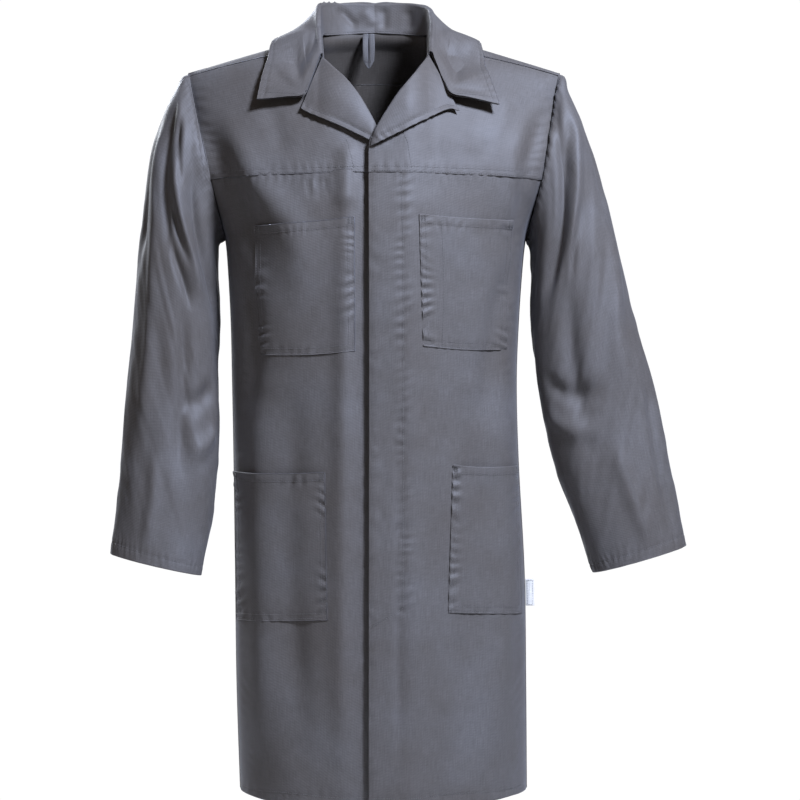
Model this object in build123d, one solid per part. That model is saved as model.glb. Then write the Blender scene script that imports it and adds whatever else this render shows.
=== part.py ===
"""Lab coat, hanging closed: sewn cloth panels, a turned-down collar, sleeves, pockets and press studs.

The frame has its origin at the back of the neck seam, where the hanging loop is sewn. +Z is up, the
front faces -Y, and +X is the wearer's left. Lengths are in millimetres. A piece of cloth is a smooth
surface through a coarse net of points, with the cloth's thickness on its inner side.
"""

from build123d import *
from math import asin, cos, pi, sin
import os

os.makedirs("parts", exist_ok=True)

# ---- cloth -----------------------------------------------------------------------------------------
CLOTH = 1.6                 # one layer of cloth, with its seam allowances spread over it
SEAM = 0.8                  # clearance between two pieces that are sewn edge to edge
PLY = 1.0                   # clearance between two pieces that lie on each other
FOLD = 2.6                  # clearance between pieces whose bodies turn apart
LINING = 0.6                # stiffening layer inside the collar

# ---- length and width of the coat ------------------------------------------------------------------
MID_Y = -65.0               # plane of the side seams, between front and back
HEM_Z = -1050.0
PIT_Z = -292.0              # bottom of the armholes
CHEST_HALF = 206.0          # half width at the armpit
WAIST_HALF = 198.0
HEM_HALF = 203.0
SHOULDER_HALF = 254.0       # half width between the shoulder points
SHOULDER_Z = -62.0
NECK_HALF = 77.0            # half width of the neck opening at the shoulder seam
NECK_Z = -8.0
NECK_DEPTH = 62.0           # from the neck points back to the origin
NECK_RISE = 32.0            # how far the cloth would rise inside the neck opening
RIDGE_ROUNDING = 20.0       # softens the ridge's peak over the spine
ARCH = 150.0                # drop from the shoulder ridge to where front and back hang plumb
ARCH_POWER = 1.8
GIRTH_POWER = 2.3           # squareness of the horizontal sections
PIT_ROUNDING = 0.1          # how softly the armhole's edge turns into the side seam
ARM_ROOM = 24.0             # how far the section would reach past the middle of the armhole
SHOULDER_ROOM = 8.0         # and past the shoulder point
WAIST_Z = -480.0
HIP_Z = -600.0

# ---- depth ahead of and behind the side seams ------------------------------------------------------
NECK_FRONT = 88.0
CHEST_FULLNESS = 57.0
COLLAR_TOP_Z = 60.0
CHEST_Z = -330.0
FRONT_FLARE = 11.0
NECK_BACK = 97.0
BLADE_FULLNESS = 35.0
BLADE_TOP_Z = 40.0
BLADE_Z = -260.0
BACK_FLARE = 18.0
FLARE_Z = -500.0            # the flare towards the hem starts here

# ---- seams across the coat -------------------------------------------------------------------------
YOKE_Z = -203.0             # front yoke seam at the centre front
YOKE_FALL = 11.0            # how much lower that seam is at the armhole
BACK_YOKE_Z = -70.0         # back yoke seam at the centre back
BACK_YOKE_FALL = 30.0
SEAM_DROP_NECK = 16.0       # the shoulder seam lies this far down the front at the neck
SEAM_DROP_ARM = 4.0         # and this far at the armhole

# ---- closure ---------------------------------------------------------------------------------------
EDGE = {"left": -6.0, "right": -30.0}    # how far each front passes the centre line, as a minus
LIFT = 12.0                 # the left front, on top, stands this far off the right one
LIFT_START = 90.0
LIFT_END = 42.0
PLACKET_WIDTH = 50.0
PLACKET_END_Z = -815.0
PLACKET_GAP = 2.0           # room for the caps between the front and the placket strip
STUD_X = 14.0
STUD_FIRST_Z = -245.0
STUD_PITCH = 130.0
STUD_COUNT = 5
STUD_DISC = 6.0             # radius of the discs
STUD_POST = 2.0
STUD_CLEARANCE = 0.3
STUD_GRIP = 1.1             # how deep a post sits in its socket
SOCKET_HEIGHT = 2.2
TOUCH = 0.25                # clearance between a press stud and the curved cloth under it

# ---- neckline: x of each front's inner edge by height, from the neck point down --------------------
NECKLINE = {
    "left": [(-20, 77), (-38, 77), (-93, 36), (-138, 4), (-158, -5), (-203, -6), (-220, -6)],
    "right": [(-20, 77), (-42, 73), (-75, 44), (-138, -4), (-165, -22), (-203, -30), (-220, -30)],
}

# ---- collar, right half of the wearer's neck mirrored from the left --------------------------------
# neck seam, fold and outer edge at stations from the centre back round to the front
COLLAR_SEAM = [(0, 1, 2), (42, -6, -2), (67, -31, -5), (74, -62, -5), (73, -101, -22), (72, -134, -46)]
COLLAR_FOLD = [(0, 5, 34), (46, -2, 34), (73, -33, 28), (79, -66, 12), (80, -104, -10), (80, -138, -40)]
COLLAR_EDGE = [(0, 31, -30), (68, 6, -32), (113, -19, -28), (135, -76, -11), (152, -118, -52),
               (165, -148, -101)]
COLLAR_GORGE = (103, -91)   # x, z where the collar leaves the lapel
LEAF_ROOM = 6.0             # the leaf's inside stays this far off the shoulders

# ---- pockets: inner side, outer side, mouth and bottom ---------------------------------------------
POCKETS = {
    "left_chest_pocket": ("left", 62, 190, -258, -442, 11),
    "right_chest_pocket": ("right", 27, 168, -264, -448, 11),
    "left_hip_pocket": ("left", 107, 194, -602, -806, 14),
    "right_hip_pocket": ("right", 67, 190, -608, -817, 14),
}
POCKET_SIDE_LIMIT = 0.985   # share of the half width that a pocket may reach

# ---- sleeves: outer and inner end of each ring and its half depth, and its middle's y --------------
ARMHOLE_DEPTH = 60.0
SLEEVE_RINGS = {
    "left": [
        ((296, -165), (214, -303), 74, -66),
        ((335, -300), (216, -346), 72, -70),
        ((362, -410), (220, -432), 66, -74),
        ((392, -525), (233, -548), 58, -78),
        ((413, -625), (263, -656), 52, -84),
        ((427, -708), (299, -746), 47, -92),
    ],
    "right": [
        ((295, -165), (213, -303), 74, -66),
        ((322, -296), (213, -346), 72, -71),
        ((331, -414), (212, -432), 66, -78),
        ((339, -534), (211, -549), 58, -88),
        ((346, -634), (216, -656), 52, -102),
        ((355, -719), (231, -747), 47, -118),
    ],
}

# ---- hanging loop and side label -------------------------------------------------------------------
LOOP_X = -8.0
LOOP_Y = -7.6
LOOP_TAPE = 9.4             # width of the tape
LOOP_SLIT = 1.2             # between its two legs
LOOP_LENGTH = 49.0
LOOP_MITRE = 11.0           # height of the pointed end
LABEL_ROOT = 1.6            # clearance from the side seam
LABEL_WIDTH = 14.0
LABEL_TOP_Z = -756.0
LABEL_HEIGHT = 37.0
LABEL_THICKNESS = 0.8

OWN = {"left": 1, "right": -1}


def ramp(value, start, end):
    """0 at start, 1 at end, with a smooth rise between them."""
    share = min(1.0, max(0.0, (value - start) / (end - start)))
    return share * share * (3 - 2 * share)


def mix(first, second, share):
    """The value at share between two values."""
    return first + (second - first) * share


def along(stations, place):
    """Reading of a short list of (place, value) stations, in falling order of place."""
    for (high, first), (low, last) in zip(stations, stations[1:]):
        if place >= low:
            share = min(1.0, max(0.0, (high - place) / (high - low)))
            return mix(first, last, share)
    return stations[-1][1]


def spread(count, start=0.0, end=1.0):
    """Evenly spaced numbers."""
    return [mix(start, end, index / (count - 1)) for index in range(count)]


# ---- the outer shape of the body -------------------------------------------------------------------
def front_bulge(z):
    """Depth of the front ahead of the side seams: the neck, the chest and the flare at the hem."""
    chest = CHEST_FULLNESS * ramp(z, COLLAR_TOP_Z, CHEST_Z)
    return NECK_FRONT + chest + FRONT_FLARE * ramp(z, FLARE_Z, HEM_Z)


def back_bulge(z):
    """Depth of the back behind the side seams: the neck, the shoulder blades and the flare."""
    blades = BLADE_FULLNESS * ramp(z, BLADE_TOP_Z, BLADE_Z)
    return NECK_BACK + blades + BACK_FLARE * ramp(z, FLARE_Z, HEM_Z)


def arm_x(z):
    """Half width of the body pieces: the armhole's edge, turning smoothly into the side seam."""
    rise = min(1.0, (z - PIT_Z) / (SHOULDER_Z - PIT_Z))
    rise = (rise + (rise * rise + PIT_ROUNDING ** 2) ** 0.5) / 2
    sides = mix(CHEST_HALF, WAIST_HALF, ramp(z, PIT_Z, WAIST_Z))
    flare = (HEM_HALF - WAIST_HALF) * ramp(z, HIP_Z, HEM_Z)
    return sides + flare + (SHOULDER_HALF - CHEST_HALF) * rise


def girth_half(z):
    """Half width of the section that the cloth follows, which is the shoulder above the armpit."""
    rise = min(1.0, max(0.0, (z - PIT_Z) / (SHOULDER_Z - PIT_Z)))
    return arm_x(z) + ARM_ROOM * sin(pi * rise) ** 2 + SHOULDER_ROOM * rise * rise


def ridge_z(x):
    """Height of the shoulder's ridge at x, carried on across the neck."""
    reach = (x * x + RIDGE_ROUNDING ** 2) ** 0.5
    slope = (NECK_Z - SHOULDER_Z) / (SHOULDER_HALF - NECK_HALF)
    straight = NECK_Z - slope * (reach - NECK_HALF)
    if reach < NECK_HALF:
        return straight + NECK_RISE * (1 - (reach / NECK_HALF) ** 4) ** 1.5
    return straight


def fullness(x, z):
    """Share of the full depth at x, z: 0 on the shoulder's ridge and at the sides."""
    drop = min(1.0, max(0.0, (ridge_z(x) - z) / ARCH))
    arch = (1 - (1 - drop) ** ARCH_POWER) ** (1 / ARCH_POWER)
    share = min(1.0, abs(x) / girth_half(z))
    return arch * (1 - share ** GIRTH_POWER) ** (1 / GIRTH_POWER)


def front_depth(x, z):
    """How far the outside of the front lies ahead of the side seams."""
    return mix(FOLD / 2, front_bulge(z), fullness(x, z))


def front_normal(x, z):
    """Outward normal of the front at x, z."""
    step = 0.5
    edge = girth_half(z)
    right, left = min(x + step, edge), max(x - step, -edge)
    across = (front_depth(right, z) - front_depth(left, z)) / (right - left)
    up = (front_depth(x, z + step) - front_depth(x, z - step)) / (2 * step)
    return Vector(-across, -1, -up).normalized()


def front_point(x, z, off=0.0):
    """A point on the outside of the front, moved off outwards."""
    point = Vector(x, MID_Y - front_depth(x, z), z)
    if off:
        point = point + front_normal(x, z) * off
    return (point.X, point.Y, point.Z)


def back_point(x, z):
    """A point on the outside of the back."""
    half_seam = FOLD / 2
    return (x, MID_Y + mix(half_seam, back_bulge(z), fullness(x, z)), z)


def lift(side, x):
    """How far a front stands off near the centre, where the left one lies on the right one."""
    if side == "left":
        return LIFT * ramp(x, LIFT_START, LIFT_END)
    return 0.0


def yoke_z(x):
    """Front yoke seam."""
    return YOKE_Z - YOKE_FALL * (x / SHOULDER_HALF) ** 2


def back_yoke_z(x):
    """Back yoke seam."""
    return BACK_YOKE_Z - BACK_YOKE_FALL * (x / SHOULDER_HALF) ** 2


def seam_drop(x):
    """How far the shoulder seam lies down the front."""
    return mix(SEAM_DROP_NECK, SEAM_DROP_ARM, ramp(abs(x), NECK_HALF, SHOULDER_HALF))


# ---- cloth solids ----------------------------------------------------------------------------------
def net_normals(net):
    """Unit normals of a net of points, from each point's neighbours."""
    last_row, last_column = len(net) - 1, len(net[0]) - 1
    normals = []
    for i, row in enumerate(net):
        line = []
        for j in range(len(row)):
            down = net[min(i + 1, last_row)][j] - net[max(i - 1, 0)][j]
            across = net[i][min(j + 1, last_column)] - net[i][max(j - 1, 0)]
            line.append(down.cross(across).normalized())
        normals.append(line)
    return normals


def moved(net, normals, distance):
    """The net moved along its normals."""
    return [
        [point + normal * distance for point, normal in zip(row, line)]
        for row, line in zip(net, normals)
    ]


def rim_of(net):
    """The points round the border of a net, in order."""
    top, bottom = net[0], net[-1]
    right = [row[-1] for row in net[1:-1]]
    left = [row[0] for row in net[1:-1]]
    return top + right + bottom[::-1] + left[::-1]


def triangle(*corners):
    """A flat face."""
    return Face(Wire.make_polygon(corners, close=True))


def cloth(rows, outward, low=-CLOTH, high=0.0):
    """A layer of cloth between two offsets from a net; outward says which way the net's middle faces."""
    net = [[Vector(*point) for point in row] for row in rows]
    normals = net_normals(net)
    middle = normals[len(net) // 2][len(net[0]) // 2]
    sign = 1 if middle.dot(Vector(*outward)) > 0 else -1
    sides = [moved(net, normals, sign * off) for off in (high, low)]
    faces = []
    for side in sides:
        for upper, lower in zip(side, side[1:]):
            for j in range(len(upper) - 1):
                faces.append(triangle(upper[j], upper[j + 1], lower[j]))
                faces.append(triangle(upper[j + 1], lower[j + 1], lower[j]))
    outer_rim, inner_rim = [rim_of(side) for side in sides]
    for k in range(len(outer_rim)):
        faces.append(triangle(outer_rim[k - 1], outer_rim[k], inner_rim[k]))
        faces.append(triangle(outer_rim[k - 1], inner_rim[k], inner_rim[k - 1]))
    return Solid(Shell(faces))


def disc(x, off_low, off_high, z, radius, hole=0.0):
    """A disc on the front at x, z, between two offsets, square to the cloth."""
    normal = front_normal(x, z)
    plane = Plane(origin=front_point(x, z, off_low), x_dir=(1, 0, 0), z_dir=normal)
    body = Solid.make_cylinder(radius, off_high - off_low, plane)
    if hole:
        body = body - Solid.make_cylinder(hole, off_high - off_low, plane)
    return body


def save(name, shape):
    """Write one node."""
    export_step(shape, f"parts/{name}.step")


# ---- back ------------------------------------------------------------------------------------------
def make_back_panel():
    """The back from its yoke seam to the hem, in one piece from side seam to side seam."""
    rows = []
    for share in spread(20):
        row = []
        for turn in spread(25, -pi / 2, pi / 2):
            top = back_yoke_z(SHOULDER_HALF * sin(turn)) - SEAM
            z = mix(top, HEM_Z, share)
            row.append(back_point(arm_x(z) * sin(turn), z))
        rows.append(row)
    return cloth(rows, (0, 1, 0))


def make_back_yoke():
    """The piece over both shoulders, from the shoulder seams to the back yoke seam, cut out at the neck."""
    columns = spread(29, -pi / 2, pi / 2)
    rows = []
    for share in spread(4, 1.0, 0.25):
        row = []
        for turn in columns:
            x = SHOULDER_HALF * sin(turn)
            row.append(front_point(x, ridge_z(x) - seam_drop(x) * share ** 2))
        rows.append(row)
    for share in (0.0, 0.05, 0.2, 0.45, 0.72, 1.0):
        row = []
        for turn in columns:
            x = SHOULDER_HALF * sin(turn)
            z = mix(ridge_z(x), back_yoke_z(x), share)
            row.append(back_point(arm_x(z) * sin(turn), z))
        rows.append(row)
    return (cloth(rows, (0, 0, 1)) - make_neck_tool()).solid()


def make_neck_tool():
    """Everything above the neck seam, which is half of a long ellipse round the back of the neck."""
    ahead = -200
    outline = [(-NECK_HALF, ahead), (NECK_HALF, ahead)]
    for turn in spread(19, 0, pi):
        depth = NECK_DEPTH * sin(turn) ** 0.8
        outline.append((NECK_HALF * cos(turn), depth - NECK_DEPTH))
    with BuildSketch(Plane.XY.offset(-60)) as neck:
        with BuildLine():
            Polyline(*outline, close=True)
        make_face()
    return extrude(neck.sketch, 200).solid()


# ---- fronts ----------------------------------------------------------------------------------------
def make_front_yoke(side):
    """The upper front, from the shoulder seam to the yoke seam, inside edge on the lapel's roll line."""
    own = OWN[side]
    rows = []
    for down in spread(15):
        row = []
        for across in spread(15):
            top_x = mix(NECK_HALF, SHOULDER_HALF, across)
            top = ridge_z(top_x) - seam_drop(top_x) - SEAM
            bottom_x = mix(EDGE[side], arm_x(YOKE_Z), across)
            z = mix(top, yoke_z(bottom_x) + SEAM / 2, down)
            x = mix(along(NECKLINE[side], z), arm_x(z), across)
            row.append(front_point(own * x, z, lift(side, x)))
        rows.append(row)
    return cloth(rows, (0, -1, 0))


def make_front_panel(side):
    """The lower front, from the yoke seam to the hem."""
    own = OWN[side]
    rows = []
    for down in spread(22):
        row = []
        for across in spread(20):
            start = asin(EDGE[side] / arm_x(YOKE_Z))
            turn = mix(start, pi / 2, across)
            top = yoke_z(arm_x(YOKE_Z) * sin(turn)) - SEAM / 2
            z = mix(top, HEM_Z, down)
            x = arm_x(z) * sin(turn)
            row.append(front_point(own * x, z, lift(side, x)))
        rows.append(row)
    return cloth(rows, (0, -1, 0))


def make_strip(side, start_x, width, top_z, end_z, off):
    """A straight strip of cloth behind a front's edge, its outside off the front's surface."""
    own = OWN[side]
    rows = []
    for down in spread(25):
        z = mix(top_z, end_z, down)
        row = []
        for across in spread(6):
            x = start_x + width * across
            row.append(front_point(own * x, z, lift(side, x) + off))
        rows.append(row)
    return cloth(rows, (0, -1, 0))


def make_placket_facing():
    """The strip under the left front's edge that carries the press-stud sockets."""
    behind = -CLOTH - PLACKET_GAP
    return make_strip("left", EDGE["left"] + 2, PLACKET_WIDTH, YOKE_Z - 12, PLACKET_END_Z, behind)


def make_right_facing():
    """The right front's edge strip, inside, that carries the stud backs."""
    return make_strip("right", EDGE["right"] + 2, PLACKET_WIDTH, YOKE_Z - 8, HEM_Z + 14, -CLOTH - PLY)


LAPEL_GAP = 1.8             # between the front and the lapel turned out over it
LAPEL_SWELL = 4.0           # how far the widest part of a lapel swells out
LAPEL_LENGTH = 74           # height difference of the roll line and the edge where the swell is full


def make_lapel(side):
    """The turned-out corner of the front, from the roll line to its edge and the notch."""
    own = OWN[side]
    roll = {
        "left": [(71, -54), (55, -72), (37, -94), (19, -118), (5, -139), (-3, -157)],
        "right": [(66, -56), (52, -68), (38, -80), (17, -109), (-1, -137), (-8, -149)],
    }[side]
    edge = {
        "left": [(112, -114), (98, -113), (62, -129), (34, -143), (12, -155), (-4, -164)],
        "right": [(98, -112), (82, -121), (58, -130), (36, -140), (14, -152), (-5, -160)],
    }[side]
    rows = []
    for (roll_x, roll_z), (edge_x, edge_z) in zip(roll, edge):
        row = []
        for across in spread(5):
            x = mix(roll_x, edge_x, across)
            z = mix(roll_z, edge_z, across)
            swell = sin(pi * min(1.0, across * 1.3 + 0.1)) * abs(edge_z - roll_z) / LAPEL_LENGTH
            stand = CLOTH + LAPEL_GAP + LAPEL_SWELL * swell
            row.append(front_point(own * x, z, lift(side, x) + stand))
        rows.append(row)
    return cloth(rows, (0, -1, 0))


# ---- collar ----------------------------------------------------------------------------------------
STAND_LEAN = 1.2            # how far the collar's stand leans in at its fold
FOLD_CROWN = 1.5            # how far the fold's crown lies above the stand


def collar_station(index):
    """Points of the collar's section at one station, from the neck seam over the fold to the edge."""
    seam, fold, edge = COLLAR_SEAM[index], COLLAR_FOLD[index], COLLAR_EDGE[index]
    front = ramp(index, 3, len(COLLAR_SEAM) - 1)
    points = []
    for share in (0.0, 0.5, 0.88):
        inward = STAND_LEAN * share
        x, y, z = [mix(a, b, share) for a, b in zip(seam, fold)]
        points.append((x - inward, y, z))
    points.append((fold[0], fold[1], fold[2] + FOLD_CROWN))
    for share in (0.08, 0.3, 0.5, 0.7, 0.86, 1.0):
        x, y, z = [mix(a, b, share) for a, b in zip(fold, edge)]
        corner = 1 - abs(2 * share - 1)
        x -= front * corner * ((fold[0] + edge[0]) / 2 - COLLAR_GORGE[0])
        z += front * corner * (COLLAR_GORGE[1] - (fold[2] + edge[2]) / 2)
        if z < ridge_z(x):
            ahead = front_point(x, z, LEAF_ROOM + lift("left", x))[1]
            behind = back_point(x, z)[1] + LEAF_ROOM
            y = min(y, ahead) if y < MID_Y else max(y, behind)
        points.append((x, y, z))
    return points


def collar_net():
    """The inner face of the folded collar, from the wearer's right gorge round to the left."""
    half = [collar_station(index) for index in range(len(COLLAR_SEAM))]
    mirrored = [[(-x, y, z) for x, y, z in points] for points in reversed(half[1:])]
    return mirrored + half


def make_collar():
    """The three layers of the collar, from the under collar out."""
    net = collar_net()
    above_under = CLOTH + PLY
    above_lining = above_under + LINING + PLY
    save("under_collar", cloth(net, (0, 0.3, 1), 0, CLOTH))
    save("collar_interlining", cloth(net, (0, 0.3, 1), above_under, above_under + LINING))
    save("top_collar", cloth(net, (0, 0.3, 1), above_lining, above_lining + CLOTH))


# ---- pockets ---------------------------------------------------------------------------------------
def make_pocket(side, inner_x, outer_x, top_z, bottom_z, gape):
    """A patch pocket: sewn down at its sides and bottom, standing open at its mouth."""
    own = OWN[side]
    rows = []
    for down in spread(9):
        z = mix(top_z, bottom_z, down)
        first = asin(inner_x / arm_x(z))
        last = asin(min(POCKET_SIDE_LIMIT, outer_x / arm_x(z)))
        row = []
        for across in spread(11):
            x = arm_x(z) * sin(mix(first, last, across))
            open_by = gape * sin(pi * across) ** 0.8 * (1 - down) ** 0.8
            row.append(front_point(own * x, z, lift(side, x) + PLY + CLOTH + open_by))
        rows.append(row)
    return cloth(rows, (0, -1, 0))


# ---- sleeves ---------------------------------------------------------------------------------------
def sleeve_ring(outer, inner, depth, middle_y, side):
    """Points round one ring, from the underarm seam over the front and the outside, and back."""
    own = OWN[side]
    middle = Vector(own * (outer[0] + inner[0]) / 2, middle_y, (outer[1] + inner[1]) / 2)
    across = Vector(own * (outer[0] - inner[0]) / 2, 0, (outer[1] - inner[1]) / 2)
    seam_turn = SEAM / 2 / depth
    ring = []
    for turn in spread(27, -pi + seam_turn, pi - seam_turn):
        point = middle + across * cos(turn) + Vector(0, depth * sin(turn), 0)
        ring.append((point.X, point.Y, point.Z))
    return ring


def smooth_between(values, place):
    """A smooth curve through evenly spaced values, read at place from 0 to the last index."""
    index = min(int(place), len(values) - 2)
    share = place - index
    before = values[max(index - 1, 0)]
    first, last = values[index], values[index + 1]
    after = values[min(index + 2, len(values) - 1)]
    return first + 0.5 * (
        (last - before) * share
        + (2 * before - 5 * first + 4 * last - after) * share ** 2
        + (3 * first - before - 3 * last + after) * share ** 3
    )


def make_sleeve(side):
    """A sleeve from its armhole to the cuff: one piece of cloth, closed by its underarm seam."""
    top = (SHOULDER_HALF + FOLD, SHOULDER_Z)
    pit = (CHEST_HALF + FOLD + 3, PIT_Z)
    stations = [(top, pit, ARMHOLE_DEPTH, MID_Y)] + SLEEVE_RINGS[side]
    flat = [(*outer, *inner, depth, y) for outer, inner, depth, y in stations]
    columns = list(zip(*flat))
    rows = []
    for place in spread(19, 0, len(stations) - 1):
        outer_x, outer_z, inner_x, inner_z, depth, y = [smooth_between(column, place) for column in columns]
        rows.append(sleeve_ring((outer_x, outer_z), (inner_x, inner_z), depth, y, side))
    return cloth(rows, (OWN[side], 0, 0))


# ---- press studs -----------------------------------------------------------------------------------
def make_studs():
    """Four groups of small metal parts, one of each at every closing point."""
    strip_outside = LIFT - CLOTH - PLACKET_GAP
    socket_top = strip_outside - CLOTH - TOUCH
    socket_end = socket_top - SOCKET_HEIGHT
    facing_inside = -2 * CLOTH - PLY
    groups = {"stud_caps": [], "stud_sockets": [], "stud_posts": [], "stud_backs": []}
    for index in range(STUD_COUNT):
        z = STUD_FIRST_Z - STUD_PITCH * index
        cap_low = strip_outside + TOUCH
        groups["stud_caps"].append(disc(STUD_X, cap_low, cap_low + 1.0, z, STUD_DISC))
        hole = STUD_POST + STUD_CLEARANCE
        groups["stud_sockets"].append(disc(STUD_X, socket_end, socket_top, z, STUD_DISC, hole))
        base = disc(STUD_X, TOUCH, 1.1, z, STUD_DISC)
        post = disc(STUD_X, TOUCH, socket_end + STUD_GRIP, z, STUD_POST)
        groups["stud_posts"].append(base + post)
        back_top = facing_inside - TOUCH
        groups["stud_backs"].append(disc(STUD_X, back_top - 0.9, back_top, z, STUD_DISC - 0.5))
    for name, solids in groups.items():
        save(name, Compound([solid.solid() for solid in solids]))


# ---- loop and label --------------------------------------------------------------------------------
def make_hanging_loop():
    """A tape folded in two with a mitred end, hanging inside the neck."""
    half = LOOP_TAPE + LOOP_SLIT / 2
    shoulder = -LOOP_LENGTH + LOOP_MITRE
    outline = [(-half, -1.5), (half, -1.5), (half, shoulder), (0, -LOOP_LENGTH), (-half, shoulder)]
    plane = Plane(origin=(LOOP_X, LOOP_Y + CLOTH / 2, 0), x_dir=(1, 0, 0), z_dir=(0, -1, 0))
    with BuildPart() as loop:
        with BuildSketch(plane):
            with BuildLine():
                Polyline(*outline, close=True)
            make_face()
            with Locations((0, shoulder / 2 - 2.5)):
                Rectangle(LOOP_SLIT, -shoulder - 1, mode=Mode.SUBTRACT)
        extrude(amount=CLOTH)
    return loop.part.solid()


def make_side_label():
    """A blank folded label sewn into the wearer's left side seam."""
    side_x = arm_x(LABEL_TOP_Z) + LABEL_ROOT
    middle = (side_x + LABEL_WIDTH / 2, MID_Y, LABEL_TOP_Z - LABEL_HEIGHT / 2)
    return Pos(*middle) * Box(LABEL_WIDTH, LABEL_THICKNESS, LABEL_HEIGHT)


def main():
    save("back_panel", make_back_panel())
    save("back_yoke", make_back_yoke())
    for side in ("left", "right"):
        save(f"{side}_front_yoke", make_front_yoke(side))
        save(f"{side}_front_panel", make_front_panel(side))
        save(f"{side}_lapel", make_lapel(side))
        save(f"{side}_sleeve", make_sleeve(side))
    save("placket_facing", make_placket_facing())
    save("right_facing", make_right_facing())
    make_collar()
    for name, pocket in POCKETS.items():
        save(name, make_pocket(*pocket))
    make_studs()
    save("hanging_loop", make_hanging_loop())
    save("side_label", make_side_label())


main()
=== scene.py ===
"""Lab coat hanging closed: its cloth pieces, stitching and trims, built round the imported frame.

Lengths are metres. +X is the wearer's left, -Y the front and +Z up. The origin is the centre back of the
neck seam.
"""

import bpy
import numpy as np
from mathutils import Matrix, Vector


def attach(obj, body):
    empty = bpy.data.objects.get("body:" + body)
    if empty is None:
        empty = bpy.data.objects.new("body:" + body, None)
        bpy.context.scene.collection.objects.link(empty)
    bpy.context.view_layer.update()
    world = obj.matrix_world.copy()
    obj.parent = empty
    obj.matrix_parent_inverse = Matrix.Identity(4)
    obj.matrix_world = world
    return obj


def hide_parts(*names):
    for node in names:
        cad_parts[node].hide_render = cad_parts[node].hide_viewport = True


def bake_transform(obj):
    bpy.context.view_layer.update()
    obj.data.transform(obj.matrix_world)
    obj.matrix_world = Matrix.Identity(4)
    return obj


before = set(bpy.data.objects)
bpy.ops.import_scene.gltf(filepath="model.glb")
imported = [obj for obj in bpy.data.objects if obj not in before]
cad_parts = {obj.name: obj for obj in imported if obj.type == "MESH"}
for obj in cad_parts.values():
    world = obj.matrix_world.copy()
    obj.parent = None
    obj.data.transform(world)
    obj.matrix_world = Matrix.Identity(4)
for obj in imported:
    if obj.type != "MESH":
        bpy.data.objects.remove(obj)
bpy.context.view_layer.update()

# ---- cloth ---------------------------------------------------------------------------------------
CLOTH = 0.0008              # one layer of the twill
OWN = {"left": 1.0, "right": -1.0}
TO_FRONT, TO_BACK, TO_TOP = (0, -1, 0), (0, 1, 0), (0, 0, 1)

# ---- the body: side seams' plane, and heights down the coat ----------------------------------------
MID_Y = -0.065
HEM_Z = -1.047
PIT_Z = -0.292
SHOULDER_HALF = 0.254
SHOULDER_Z = -0.062
NECK_HALF = 0.077
NECK_Z = -0.008
NECK_DEPTH = 0.062
NECK_RISE = 0.032
RIDGE_ROUNDING = 0.020
RIDGE_SLOPE = (NECK_Z - SHOULDER_Z) / (SHOULDER_HALF - NECK_HALF)
ARCH = 0.150
ARCH_POWER = 1.8
GIRTH_POWER = 2.3
PIT_ROUNDING = 0.1
SEAM_OVERLAP = 0.0016       # how far a front reaches back past the side seam, under the back's edge
TUCK = 0.0012               # how deep it lies there
ARM_ROOM = 0.024
SHOULDER_ROOM = 0.008

# half width of the body below the armpit, by height
SIDES = {
    "left": [(-0.20, 0.212), (-0.292, 0.206), (-0.40, 0.199), (-0.49, 0.196), (-0.60, 0.199),
             (-0.75, 0.207), (-0.90, 0.209), (-1.05, 0.210)],
    "right": [(-0.20, 0.204), (-0.292, 0.202), (-0.40, 0.197), (-0.49, 0.195), (-0.60, 0.193),
              (-0.75, 0.191), (-0.90, 0.189), (-1.05, 0.184)],
}

# ---- seams across the coat -------------------------------------------------------------------------
YOKE_Z = -0.2085
YOKE_FALL = 0.006
BACK_YOKE_Z = -0.070
BACK_YOKE_FALL = 0.030
SEAM_DROP_NECK = 0.016
SEAM_DROP_ARM = 0.004

# ---- closure ---------------------------------------------------------------------------------------
EDGE = {"left": -0.006, "right": -0.030}
LIFT = 0.012
LIFT_START = 0.090
LIFT_END = 0.042
PLACKET_STITCH = 0.043      # from the centre front edge to the row that holds the placket
PLACKET_END_Z = -0.812


# ---- small tools -----------------------------------------------------------------------------------
def ramp(value, start, end):
    """0 at start, 1 at end, with a smooth rise between them."""
    share = np.clip((value - start) / (end - start), 0.0, 1.0)
    return share * share * (3 - 2 * share)


def mix(first, second, share):
    """The value at share between two values."""
    return first + (second - first) * share


def bell(gap, width):
    """1 on a line, dying away to the sides of it."""
    return np.exp(-(gap / width) ** 2)


def travelled(path):
    """Length of a path up to each of its points."""
    return np.r_[0, np.cumsum(np.linalg.norm(np.diff(path, axis=0), axis=1))]


def spline(points, count=160):
    """Evenly spaced points along the smooth curve through a few points."""
    points = np.array(points, float)
    before = 2 * points[0] - points[1]
    after = 2 * points[-1] - points[-2]
    padded = np.vstack([before, points, after])
    place = np.linspace(0, len(points) - 1, 24 * len(points))
    index = np.minimum(place.astype(int), len(points) - 2)
    share = (place - index)[:, None]
    a, b, c, d = [padded[index + step] for step in range(4)]
    cubic = 2 * a - 5 * b + 4 * c - d + share * (3 * b - a - 3 * c + d)
    dense = b + 0.5 * share * (c - a + share * cubic)
    length = travelled(dense)
    at = np.linspace(0, length[-1], count)
    return np.column_stack([np.interp(at, length, column) for column in dense.T])


def reading(stations, place):
    """Smooth reading of a short list of (place, value) stations."""
    curve = spline(stations, 400)
    order = np.argsort(curve[:, 0])
    return np.interp(place, curve[order, 0], curve[order, 1])


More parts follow.
